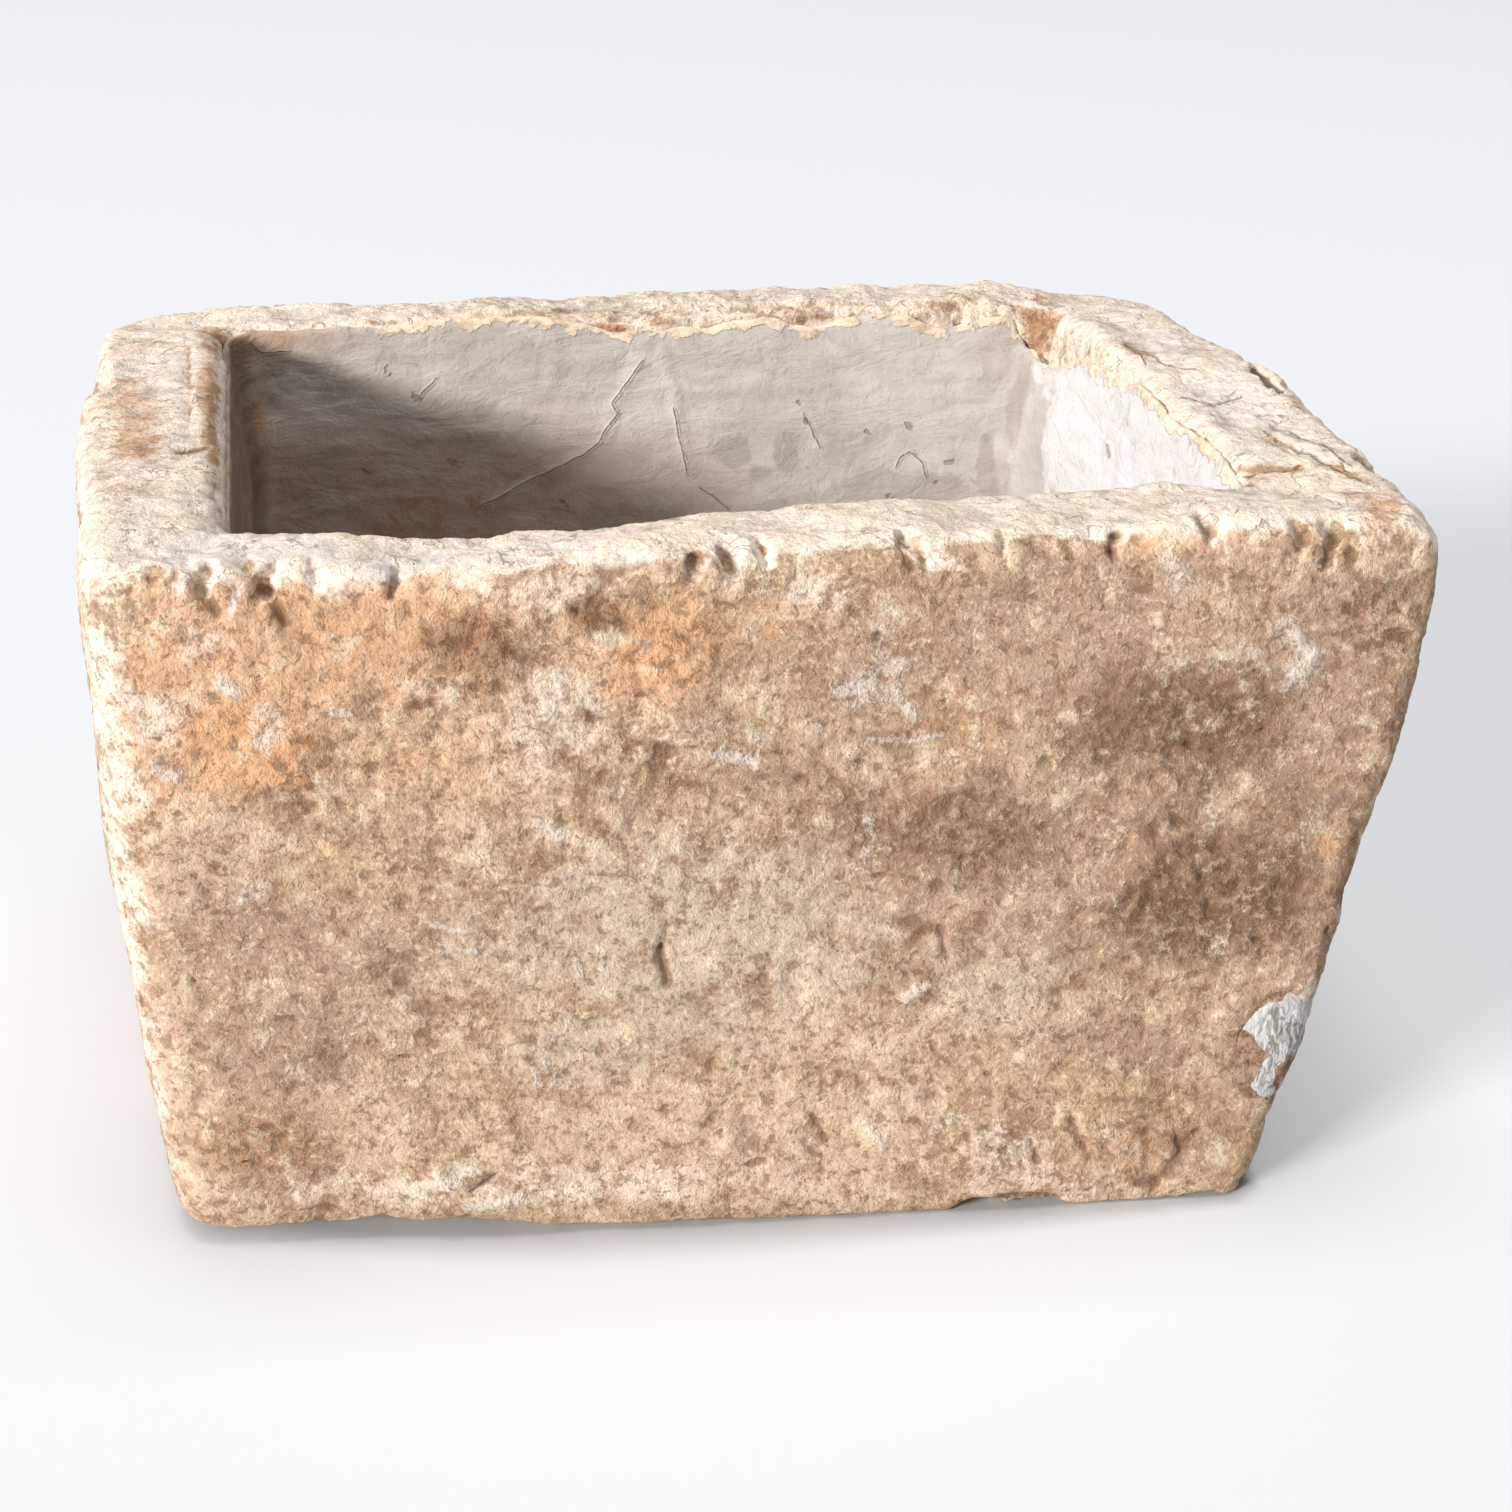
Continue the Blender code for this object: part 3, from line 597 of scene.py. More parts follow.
# The render's noises, two of them drawn out along the trowel's strokes and down the wall
LINING_SAND = (2.0 * MM, 3.0, 0.7)
LINING_TROWEL = (16 * MM, 5.0, 0.65, 0.8, (0.4, 0.4, 1.0))
LINING_UPRIGHT = (9 * MM, 3.0, 0.6, 0.3, (1.0, 1.0, 0.12))
LINING_CLOUD = (48 * MM, 5.0, 0.65, 0.6)
LINING_WISP = (10 * MM, 5.0, 0.7, 0.8)
LINING_BUMP = 1.5 * MM


def lining_material():
    nodes = Nodes("cement_render", LINING_ROUGHNESS, LINING_DULL)
    sand = nodes.noise(*LINING_SAND)
    trowel = nodes.noise(*LINING_TROWEL)
    upright = nodes.noise(*LINING_UPRIGHT)
    cloud = nodes.noise(*LINING_CLOUD)
    wisp = nodes.noise(*LINING_WISP)
    nodes.lay(LINING_BASE, nodes.ramp(cloud, 0.38, 0.62))
    # Painted light: the right wall, which faces the key light, laid paler
    nodes.lay(LINING_PAINTED_LIGHT, nodes.mask("pale"))
    blotch = nodes.sum(nodes.ramp(cloud, 0.42, 0.60, 0.0, 0.6), nodes.ramp(wisp, 0.36, 0.62, 0.0, 0.5))
    # Painted shadow: the rear wall in the left rim's shadow, the left wall turned from the key light and the
    # deep basin, warm brown and mottled
    nodes.lay(LINING_PAINTED_SHADE, nodes.times(nodes.mask("dusk"), nodes.sum(0.3, nodes.times(blotch, 0.6))))
    nodes.lay(LINING_DAMP, nodes.broken(nodes.mask("damp"), wisp, 1.6, 0.25, 0.75), 0.6)
    # Painted shade: the left wall, turned away from the key light, laid dark
    nodes.lay(LINING_DARK, nodes.mask("turned"), 0.85)
    nodes.lay(LINING_DAMP, nodes.times(nodes.mask("streaks"), nodes.ramp(upright, 0.40, 0.58, 0.4, 1.0)))
    nodes.lay(LINING_DAMP, nodes.times(nodes.ramp(wisp, 0.47, 0.34), nodes.ramp(cloud, 0.60, 0.42)), 0.4)
    fine = nodes.greatest(nodes.ramp(sand, 0.42, 0.28), nodes.times(nodes.ramp(trowel, 0.40, 0.30), 0.6))
    nodes.lay(LINING_DARK, fine, 0.28)
    stone = nodes.broken(nodes.mask("bare"), wisp, 1.8, 0.60, 0.80)
    nodes.lay(nodes.mix(nodes.ramp(wisp, 0.42, 0.58), BARE_RUST, BARE_CREAM), stone)
    pit = nodes.broken(nodes.mask("pit"), sand, 0.9)
    nodes.lay(LINING_DARK, pit, 0.5)
    line, split = nodes.split(wisp, 1.1, 0.2)
    split = nodes.times(split, nodes.ramp(sand, 0.34, 0.54, 0.35, 1.0))
    nodes.lay(LINING_DARK, split, 0.6)
    lip = nodes.times(nodes.ramp(line, 4.0, 0.6), nodes.ramp(nodes.mask("crack_near"), 0.4, 0.8))
    height = nodes.sum(nodes.times(trowel, 1.3), nodes.times(wisp, 0.6), nodes.times(sand, 0.15))
    height = nodes.sum(height, nodes.times(lip, 0.25), nodes.times(split, -0.5))
    height = nodes.sum(height, nodes.times(pit, -0.4), nodes.times(stone, 0.3))
    return nodes.finish(height, LINING_BUMP)


MORTAR_BASE = rgb(0.27, 0.245, 0.225)
MORTAR_PALE = rgb(0.56, 0.54, 0.525)
MORTAR_DARK = rgb(0.17, 0.145, 0.125)
MORTAR_SOIL = rgb(0.36, 0.245, 0.175)
MORTAR_ROUGHNESS = 0.85

# The mortar's noises, the first drawn out as a brush leaves it
MORTAR_BRUSH = (3.2 * MM, 3.0, 0.6, 1.0, (1.0, 1.0, 0.4))
MORTAR_GRAIN = (1.4 * MM, 2.0, 0.6)
MORTAR_CLUMPS = (6.0 * MM, 5.0, 0.72, 0.3)
MORTAR_BUMP = 1.6 * MM


def mortar_material():
    nodes = Nodes("lime_mortar", MORTAR_ROUGHNESS, MORTAR_BASE)
    brush = nodes.noise(*MORTAR_BRUSH)
    clumps = nodes.noise(*MORTAR_CLUMPS)
    nodes.lay(MORTAR_PALE, nodes.ramp(brush, 0.42, 0.58))
    nodes.lay(MORTAR_DARK, nodes.ramp(brush, 0.38, 0.28), 0.7)
    nodes.lay(MORTAR_PALE, nodes.ramp(nodes.mask("rim"), 0.35, 0.75, 0.0, 0.6))
    soiled = nodes.mix(nodes.ramp(clumps, 0.38, 0.60), STONE_CREVICE, MORTAR_SOIL)
    nodes.lay(soiled, nodes.broken(nodes.mask("covered"), clumps, 1.2, 0.35, 0.6))
    height = nodes.sum(brush, nodes.times(nodes.noise(*MORTAR_GRAIN), 0.3))
    return nodes.finish(height, MORTAR_BUMP)


# The stone's wear, as heights over the solid
STONE_VOXEL = 2.0 * MM
STONE_SMOOTHING = 2
UNDER_COAT = 2.0 * MM
CLEAR_OF_COAT = 8.0 * MM
UNDERSIDE = 1.5 * MM
FOOT_FREE = 4 * MM
RIM_LOW = 0.306
RIM_HIGH = 0.334
RIM_WANDER = 10 * MM
RIM_RAGGED = 5 * MM
FRONT_FACING = (-0.4, -0.8)
UNDER_FACING = -0.7
FRONT_RIM_HIGHER = 14 * MM
BAND_LOW = 0.290
BY_RENDER_FROM = 16 * MM
BY_RENDER_TO = 6 * MM
PLASTER_THICK = 0.6 * MM
PLASTER_EDGE = (0.45, 0.6)
PLASTER_RAGGED_SHARE = 0.25
PLASTER_CALM = (0.35, 0.6)
BLEACHED = 1.25
BLEACHED_WANDER_SHARE = 0.4
BLEACHED_RAGGED_SHARE = 0.3
MOST_BLEACHED = 1.4
BARED_LESS_BLEACHED = 0.85
RELIEF_RANGE = 5 * MM
CRUMBLY_LUMPS = (80 * MM, 2, 31.0)
CRUMBLY_LEVELS = (0.0, 0.4)
BROAD_LUMPS = (52 * MM, 3, 1.3)
BROAD_HEIGHT = 1.0 * MM
FLAKE_LUMPS = (26 * MM, 4, 5.2)
FLAKE_STEPS = 4.0
FLAKE_FLAT_SHARE = 0.72
FLAKE_HEIGHT = 0.6 * MM
FLAKE_MORE_AT_RIM = 1.5 * MM
SMALL_LUMPS = (7 * MM, 2, 9.4)
SMALL_HEIGHT = 0.42 * MM
PIT_LUMPS = (13 * MM, 2, 4.6)
PIT_LEVELS = (0.22, 0.5)
PIT_SHARE_WHERE_CRUMBLY = 0.12
PIT_DEPTH = 0.75 * MM
PIT_LESS_AT_RIM = 0.25 * MM
CRUMB_LUMPS = (5 * MM, 2, 14.4)
CRUMB_HEIGHT = 0.2 * MM
CRUMBLY_MORE = 0.7 * MM

# The stone's lap over the render, in general and at the right wall: how far, what slope, how clear
LAP_OVER = (1.7 * MM, 3.0 * MM)
LAP_DOWN = (5.0 * MM, 12.0 * MM)
LAP_CLEAR = (8.0 * MM, 26.0 * MM)
LAP_RAGGED = 5.0 * MM
LAP_RAGGED_SHARE = 0.6
LAP_RIGHT_X = (0.12, 0.18)

# Patches by shade: each is its pixel, half width, half height, turn in degrees if any, and strength
TONE_PATCHES = {
    "cream": (
        # The first three cream patches run down the left edge, which faces the key light: partly its own
        # cream, partly a painted highlight
        (104, 760, 50, 430, 0.7), (146, 1080, 30, 200, -12, 0.65), (128, 940, 30, 160, -8, 0.7),
        (565, 700, 80, 120, 20, 0.5), (650, 750, 130, 50, 0.3), (560, 590, 120, 40, 0.45),
        (820, 590, 90, 40, 0.5), (160, 720, 40, 60, 0.6), (1000, 1150, 70, 40, 0.45),
        (430, 690, 60, 40, 0.35), (520, 1186, 430, 34, 0.45), (1040, 1180, 160, 34, 0.35),
        (200, 640, 60, 40, 0.5),
    ),
    "peach": (
        (150, 1060, 50, 220, -12, 0.8), (640, 700, 70, 40, 0.6), (300, 1140, 300, 130, 0.9),
        (700, 1150, 400, 120, 0.9), (860, 1040, 180, 90, 0.6), (200, 860, 140, 100, 0.7),
        (480, 780, 200, 80, 0.6), (1060, 1190, 180, 50, 0.8),
    ),
    "salmon": (
        (330, 640, 330, 120, 1.35), (160, 700, 110, 150, 1.0), (620, 660, 140, 100, 1.0),
        (420, 760, 160, 80, 0.7), (1180, 540, 150, 40, 0.6), (760, 620, 110, 50, 0.7),
        (1130, 1150, 150, 56, 0.5),
    ),
    "orange": (
        (232, 745, 84, 92, 1.0), (650, 645, 74, 76, 0.85), (270, 680, 110, 40, 0.4),
        (300, 600, 90, 34, 0.5), (330, 850, 60, 40, 0.4), (1326, 845, 18, 20, 1.0),
        (606, 640, 60, 44, 0.5), (180, 640, 90, 60, 0.3), (250, 1160, 90, 44, 0.35),
        (1180, 1130, 110, 56, 0.35), (330, 640, 130, 56, 0.5),
    ),
    "rust": (
        (486, 642, 84, 64, 0.95), (616, 632, 60, 50, 0.9), (680, 610, 60, 30, 0.5),
        (620, 640, 60, 40, 1.2), (1200, 720, 120, 60, 0.5), (1230, 1150, 90, 50, 0.5),
        (1150, 850, 110, 70, 0.4), (800, 640, 90, 50, 0.4), (330, 640, 110, 50, 0.5),
        (240, 1150, 120, 60, 0.5), (350, 620, 110, 50, 0.35), (606, 610, 74, 44, 0.9),
        (310, 765, 56, 50, 0.8), (200, 640, 50, 40, 0.15), (960, 720, 80, 60, 0.6),
        (270, 1150, 150, 70, 8, 0.75), (300, 1120, 130, 50, 0.45), (700, 640, 50, 50, 0.5),
    ),
    "umber": (
        (280, 1160, 80, 40, 0.35), (606, 626, 60, 36, 0.6), (800, 640, 100, 50, 0.3),
        (1190, 720, 210, 90, 1.0), (1215, 890, 190, 130, -20, 0.95), (965, 830, 190, 80, 0.8),
        (1400, 590, 44, 50, 0.55), (1390, 680, 50, 90, 0.5), (1190, 1140, 130, 80, 0.45),
        (1290, 800, 100, 100, 0.6), (1100, 950, 120, 60, 0.45), (1150, 1060, 90, 60, 0.4),
        (620, 790, 70, 50, 0.45), (780, 780, 140, 50, 0.4), (640, 600, 50, 24, 0.5),
        (300, 1050, 160, 80, 0.45), (250, 900, 160, 80, 0.3), (330, 650, 120, 50, 0.2),
        (1345, 900, 30, 150, 8, 0.9), (1100, 960, 130, 70, 0.45), (1330, 680, 70, 60, 0.3),
        (690, 1060, 140, 50, 0.25), (1262, 1030, 60, 70, 0.7),
    ),
    "ash": (
        (600, 1050, 150, 70, 0.8), (700, 930, 380, 170, 0.85), (360, 1000, 200, 90, 0.4),
        (1010, 980, 160, 110, 0.7), (1060, 880, 80, 50, 0.5),
    ),
    "mauve": (
        (800, 650, 110, 60, 0.5), (1090, 650, 290, 140, 0.8), (1330, 700, 140, 180, 1.0),
        (850, 660, 150, 100, 0.6), (1060, 860, 360, 160, 0.85), (1130, 1060, 190, 120, 0.8),
        (300, 960, 230, 110, 0.7), (300, 1060, 180, 70, 0.5), (1300, 950, 60, 150, 0.8),
    ),
    "ochre": (
        (1120, 1100, 130, 56, 0.7), (330, 880, 160, 50, 0.45), (640, 770, 110, 50, 0.45),
        (900, 840, 60, 90, 0.4),
    ),
}

# The broken stone between the rim and the render
BAND_PATCHES = {
    "rust": (
        (384, 322, 46, 11, 0.9), (314, 326, 12, 16, 0.9), (612, 327, 34, 9, 1.0),
        (658, 322, 24, 11, 0.9), (708, 320, 20, 9, 0.8), (816, 316, 40, 11, 0.9),
        (916, 306, 60, 18, 0.65), (1040, 332, 36, 50, 0.95), (216, 345, 12, 40, 0.9),
        (213, 440, 14, 120, 1.0), (1178, 326, 40, 12, 40, 0.5), (1292, 402, 30, 12, 45, 0.8),
        (1352, 474, 44, 8, 20, 0.7),
    ),
    "orange": (
        (612, 326, 30, 8, 0.6), (1382, 497, 22, 10, 10, 0.3), (150, 350, 60, 14, 10, 0.3),
    ),
    "umber": (
        # The last umber patch runs down the gap at the left inner edge: partly the stone's brown, partly
        # painted shade in the gap
        (930, 314, 40, 10, 0.5), (1044, 346, 14, 30, 0.5), (225, 430, 9, 130, 1.0),
    ),
    "ochre": (
        (208, 430, 24, 140, 0.8), (640, 310, 420, 8, -3, 0.4), (120, 380, 50, 40, 0.4),
    ),
    "salmon": (
        (208, 400, 22, 130, 1.0), (1385, 515, 52, 44, 0.75), (470, 318, 280, 9, -2, 0.7),
        (800, 306, 260, 10, -3, 0.7), (140, 420, 56, 120, 0.8), (380, 606, 330, 20, 0.5),
    ),
    "peach": (
        (1215, 380, 80, 40, 35, 0.3), (140, 345, 80, 44, 0.45), (400, 313, 150, 11, -2, 0.7),
        (110, 470, 40, 90, 0.4), (640, 545, 420, 16, -3, 0.35), (1200, 545, 240, 30, -6, 0.6),
    ),
    "mauve": (
        (1150, 560, 260, 26, -6, 0.8),
    ),
    "ash": (
        (1060, 520, 160, 14, 0.3),
    ),
}

# Crumbly stone, where the crevices are darker and the pits deeper
CRUMBLY_PATCHES = (
    (490, 650, 110, 80, 1.0), (610, 612, 70, 44, 1.0), (310, 765, 60, 50, 0.8), (660, 650, 70, 60, 0.7),
    (230, 745, 70, 70, 0.4), (1205, 900, 170, 140, 1.0), (1200, 730, 160, 100, 0.9),
    (1390, 620, 60, 90, 1.0), (960, 830, 170, 80, 0.9), (270, 1160, 150, 70, 8, 0.7),
    (1120, 1130, 180, 70, 0.7), (640, 770, 160, 60, 0.7), (600, 300, 420, 30, 1.0),
)

# The render smear on the rim, and the plaster left on the right rim
PLASTER_PATCHES = (
    (205, 550, 74, 30, 1.0), (285, 552, 80, 26, 6, 1.0), (330, 585, 46, 30, 20, 0.9),
    (380, 572, 50, 28, 0.9), (462, 556, 84, 20, -4, 0.9), (470, 580, 40, 20, 20, 0.7),
    (235, 600, 12, 34, 20, 0.8), (180, 580, 16, 30, 20, 0.6), (560, 545, 60, 14, -4, 0.5),
    (1215, 385, 70, 50, 30, 0.9), (1165, 345, 60, 34, 30, 0.6), (1300, 440, 76, 30, 30, 0.7),
    (1250, 410, 90, 50, 35, 0.6), (150, 380, 46, 46, 0.4), (130, 480, 50, 46, 0.45),
    (300, 312, 90, 8, 0.4), (760, 300, 120, 8, 0.4),
)

# Lime marks: each stroke, here and below, is its strength, half width and the pixels it runs through
LIME_STROKES = (
    (1.0, 19, (219, 682), (232, 690)), (0.9, 3.5, (219, 690), (190, 712), (165, 742)),
    (0.9, 22, (262, 712), (278, 724), (262, 742)), (0.9, 9, (332, 713), (352, 713)),
    (0.8, 14, (128, 690), (138, 716), (144, 734)), (0.9, 18, (160, 770), (178, 776)),
    (0.8, 12, (110, 752), (122, 776)), (0.7, 14, (136, 800), (148, 800)),
    (1.0, 14, (715, 757), (752, 760)), (0.9, 17, (840, 694), (880, 672), (905, 664)),
    (0.9, 16, (868, 678), (884, 700)), (0.9, 14, (892, 690), (912, 716)),
    (0.55, 20, (888, 614), (880, 664)), (0.6, 24, (850, 700), (890, 690)),
    (0.9, 6, (868, 740), (905, 742), (942, 735)), (0.55, 16, (872, 790), (866, 866)),
    (0.9, 16, (1170, 556), (1178, 588)), (0.8, 10, (1190, 575), (1196, 594)),
    (0.9, 26, (1290, 630), (1312, 654), (1298, 676)), (0.7, 16, (1250, 650), (1262, 670)),
    (0.9, 16, (540, 820), (560, 832)), (0.9, 8, (243, 893), (268, 884)),
    (0.9, 7, (240, 902), (264, 894)), (0.9, 8, (438, 927), (464, 932)),
    (0.8, 9, (442, 950), (478, 952)), (0.8, 9, (600, 946), (604, 976)),
    (0.8, 9, (576, 960), (584, 976)), (0.9, 9, (532, 1062), (540, 1086)),
    (0.9, 9, (544, 1060), (558, 1084)), (0.9, 12, (905, 1000), (926, 984)),
    (0.7, 9, (934, 1126), (960, 1118)), (0.7, 22, (560, 680), (552, 706)),
    (0.7, 18, (590, 700), (600, 716)), (0.7, 9, (810, 720), (820, 728)),
    (0.7, 14, (1056, 520), (1076, 532)), (0.9, 18, (440, 1180), (470, 1172)),
    (0.9, 16, (470, 1208), (520, 1198)), (0.8, 10, (1336, 910), (1346, 930)),
    (0.8, 12, (860, 1120), (884, 1140)), (0.5, 22, (700, 720), (760, 735)),
    (0.5, 20, (1120, 1150), (1140, 1150)), (0.5, 30, (690, 575), (760, 575)),
    (1.0, 9, (186, 510), (202, 506)), (1.0, 6, (214, 504), (222, 526)),
    (0.9, 6, (180, 452), (206, 450)), (1.0, 11, (1290, 1016), (1304, 1000), (1314, 984)),
    (1.0, 10, (1266, 1062), (1272, 1084)), (0.9, 6, (1264, 1094), (1266, 1102)),
)

# Dents and raised marks: a strength of 1 is one MARK_DEPTH
MARK_DEPTH = 1 * MM
DENT_ROUGH_SHARE = 0.25
DENT_BARED_SHARE = 1.1
DENTS = (
    (1.4, 12, (186, 566), (202, 590), (218, 616)), (1.6, 13, (248, 566), (266, 594), (288, 630)),
    (2.2, 10, (203, 590), (216, 612)), (2.6, 11, (266, 590), (285, 622)),
    (1.8, 7, (148, 566), (150, 582)), (2.0, 8, (309, 562), (314, 572)),
    (2.6, 8, (397, 566), (392, 596)), (1.6, 6, (408, 600), (410, 616)),
    (2.2, 8, (694, 556), (692, 576)), (3.0, 8, (722, 544), (734, 574)),
    (2.0, 7, (758, 540), (764, 552)), (2.6, 8, (900, 536), (912, 570)),
    (1.6, 7, (920, 556), (928, 572)), (1.6, 6, (1002, 550), (1004, 562)),
    (2.8, 7, (1114, 536), (1116, 562)), (3.0, 9, (1198, 514), (1208, 528)),
    (2.4, 8, (1300, 552), (1306, 532)), (3.4, 10, (1328, 564), (1338, 520)),
    (2.2, 7, (1350, 552), (1354, 562)), (2.4, 7, (668, 926), (662, 948)),
    (3.0, 9, (660, 950), (668, 984)), (1.2, 5, (760, 1045), (748, 1068)),
    (1.4, 5, (744, 1080), (712, 1118)), (2.6, 8, (1071, 1118), (1076, 1130)),
    (1.8, 7, (1080, 1138), (1092, 1164)), (2.0, 7, (1031, 1142), (1038, 1164)),
    (1.8, 7, (1004, 1148), (1012, 1168)), (1.2, 5, (1201, 1126), (1176, 1160), (1148, 1194)),
    (2.4, 7, (812, 1116), (826, 1140)), (2.0, 6, (940, 930), (946, 960)),
    (1.6, 5, (972, 938), (966, 964)), (1.8, 5, (1016, 1150), (1024, 1172)),
    (2.2, 6, (1176, 1136), (1180, 1150)), (2.4, 8, (474, 1190), (494, 1178)),
    (2.6, 10, (1004, 1204), (1060, 1205)), (1.6, 6, (545, 838), (562, 828)),
    (1.8, 7, (586, 708), (594, 722)), (1.2, 5, (770, 960), (756, 985)),
    (1.4, 5, (438, 1192), (470, 1196)), (1.6, 9, (1240, 470), (1300, 466)),
    (1.4, 6, (1262, 436), (1300, 452), (1352, 474)), (1.2, 6, (1276, 426), (1330, 450)),
    (1.2, 12, (1128, 345), (1150, 352)), (1.8, 8, (178, 450), (206, 447)),
    (0.9, 5, (188, 350), (190, 394), (188, 430)), (1.8, 7, (106, 596), (130, 590)),
)
BUMPS = (
    (1.6, 15, (1292, 632), (1312, 652), (1298, 672)), (1.8, 12, (545, 820), (556, 832)),
    (2.0, 16, (440, 1180), (480, 1204), (520, 1196)), (1.6, 10, (1336, 900), (1340, 940), (1326, 970)),
    (1.5, 14, (860, 1124), (880, 1138)), (1.4, 10, (905, 1000), (926, 984)),
    (1.2, 12, (219, 682), (232, 690)),
)

STONE_CRACKS = (
    ((1248, 478), (1262, 472), (1282, 470), (1300, 464)),
    ((1255, 428), (1290, 446), (1330, 464), (1362, 480)),
    ((1290, 430), (1326, 448), (1350, 466)),
    ((1150, 352), (1166, 366), (1196, 372)),
    ((177, 451), (192, 447), (208, 446)),
    ((1126, 344), (1140, 352), (1146, 366)),
    ((1180, 400), (1214, 406), (1240, 398)),
    ((452, 1186), (474, 1192), (494, 1178)),
)

# Where the foot's front edge is broken and stands clear of the floor: from x, to x and how high
FOOT_GAPS = (
    (-0.275, -0.085, 3.0 * MM),
    (-0.205, -0.145, 6.0 * MM),
    (0.115, 0.155, 3.0 * MM),
    (0.195, 0.235, 1.5 * MM),
)
FOOT_BIN = 8 * MM
FOOT_LOW = 2 * MM
FOOT_GAP_DEEP = 40 * MM
FOOT_GAP_UP = 14 * MM
FOOT_GAP_END_SHARE = 0.3
FOOT_GAP_RAGGED_SHARE = 0.5

# The same shades on the sides that the photograph doesn't show, with the wave and strength of each
UNSEEN_SHADES = (
    ("mauve", 150 * MM, 0.8),
    ("umber", 95 * MM, 0.5),
    ("salmon", 130 * MM, 0.75),
    ("peach", 110 * MM, 0.75),
    ("ash", 120 * MM, 0.6),
    ("rust", 70 * MM, 0.6),
    ("ochre", 90 * MM, 0.5),
)
UNSEEN_OCTAVES = 4
UNSEEN_PLACE = 21.0
UNSEEN_LEVELS = (-0.15, 0.6)

# Blobs in seeded places: their sizes, their stretches by axis, and how many radii they may reach
BLOB_RAGGED_SHARE = 0.6
BLOB_DEPTH_SHARES = (0.4, 1.0)
FRONT_PITS = 150
FRONT_PIT_RADII = (2.2 * MM, 5.5 * MM)
FRONT_PIT_STRETCHES = {0: (0.5, 1.3), 2: (0.7, 1.8)}
FRONT_PIT_REACH = 3
FRONT_PIT_DEPTH = 2.6 * MM
FRONT_PIT_FACING = -0.8
FRONT_PIT_SEEN = 0.9
FRONT_PIT_SEED = 17
HIDDEN_LIME_MARKS = 46
HIDDEN_LIME_RADII = (3.5 * MM, 14 * MM)
HIDDEN_DENTS = 90
HIDDEN_DENT_RADII = (3 * MM, 11 * MM)
HIDDEN_DENT_DEPTH = 2.2 * MM
HIDDEN_STRETCHES = {2: (0.5, 1.6)}
HIDDEN_REACH = 6
HIDDEN_SEEN = 0.05
HIDDEN_SEED = 31


def ledges(points):
    """Lumps cut into flat steps, as stone that comes off in flakes."""
    level = lumps(points, *FLAKE_LUMPS) * FLAKE_STEPS
    floor = np.floor(level)
    return (floor + eased(FLAKE_FLAT_SHARE, 1.0, level - floor)) / FLAKE_STEPS


def wear_stone(stone, rim, crumbly):
    """The stone's broad lumps, flakes, pits and crumbs."""
    pits = eased(*PIT_LEVELS, lumps(stone.points, *PIT_LUMPS) + PIT_SHARE_WHERE_CRUMBLY * crumbly)
    wear = BROAD_HEIGHT * lumps(stone.points, *BROAD_LUMPS)
    wear += (FLAKE_HEIGHT + FLAKE_MORE_AT_RIM * rim) * ledges(stone.points)
    wear += SMALL_HEIGHT * lumps(stone.points, *SMALL_LUMPS)
    wear -= (PIT_DEPTH + CRUMBLY_MORE * crumbly - PIT_LESS_AT_RIM * rim) * pits
    return wear + (CRUMB_HEIGHT + CRUMBLY_MORE * crumbly) * lumps(stone.points, *CRUMB_LUMPS)


def mark_stone(stone):
    """The heights of the dents and raised marks, and where the dents are."""
    marks = np.zeros(stone.count)
    dented = np.zeros(stone.count)
    for depth, half_width, *line in DENTS:
        dent = stone.stroke(half_width, line, DENT_ROUGH_SHARE)
        dented = np.maximum(dented, dent)
        marks -= depth * MARK_DEPTH * dent
    for height, half_width, *line in BUMPS:
        marks += height * MARK_DEPTH * stone.stroke(half_width, line)
    return marks, dented


def seeded_blob(stone, chance, places, radii, stretches, reach):
    """A ragged blob at a seeded place: the points near it, and 1 at its middle easing to 0."""
    spot = stone.points[places[chance.randrange(len(places))]]
    radius = chance.uniform(*radii)
    stretch = np.ones(3)
    for axis, span in stretches.items():
        stretch[axis] = chance.uniform(*span)
    near = np.flatnonzero((np.abs(stone.points - spot) < reach * radius).all(axis=1))
    out = np.linalg.norm((stone.points[near] - spot) * stretch, axis=1) / radius
    return near, eased(1.0, 0.0, out * (1.0 + BLOB_RAGGED_SHARE * stone.ragged[near]))


def pit_front(stone, marks):
    """Small pits over the side that the photograph shows."""
    chance = random.Random(FRONT_PIT_SEED)
    front = (stone.seen > FRONT_PIT_SEEN) & (stone.normals[:, 1] < FRONT_PIT_FACING)
    spread = (np.flatnonzero(front), FRONT_PIT_RADII, FRONT_PIT_STRETCHES, FRONT_PIT_REACH)
    for _ in range(FRONT_PITS):
        near, blob = seeded_blob(stone, chance, *spread)
        marks[near] -= FRONT_PIT_DEPTH * blob * chance.uniform(*BLOB_DEPTH_SHARES)


def lift_foot(stone):
    """Raises the foot's front edge off the floor where the photograph shows a dark gap under it."""
    x, y, z = stone.points.T
    low = z < FOOT_LOW
    starts = np.arange(x[low].min(), x[low].max(), FOOT_BIN)
    bins = np.searchsorted(starts, x[low]) - 1
    edges = np.array([y[low][bins == number].min() for number in range(len(starts) - 1)])
    behind = y - np.interp(x, starts[:-1] + FOOT_BIN / 2, edges)
    lift = np.zeros(stone.count)
    for start, end, height in FOOT_GAPS:
        ends = FOOT_GAP_END_SHARE * (end - start)
        lift = np.maximum(lift, height * eased(start, start + ends, x) * eased(end, end - ends, x))
    lift *= eased(FOOT_GAP_DEEP, FOOT_LOW, behind) * eased(FOOT_GAP_UP, 0.0, z)
    z += lift * (1.0 + FOOT_GAP_RAGGED_SHARE * stone.ragged)


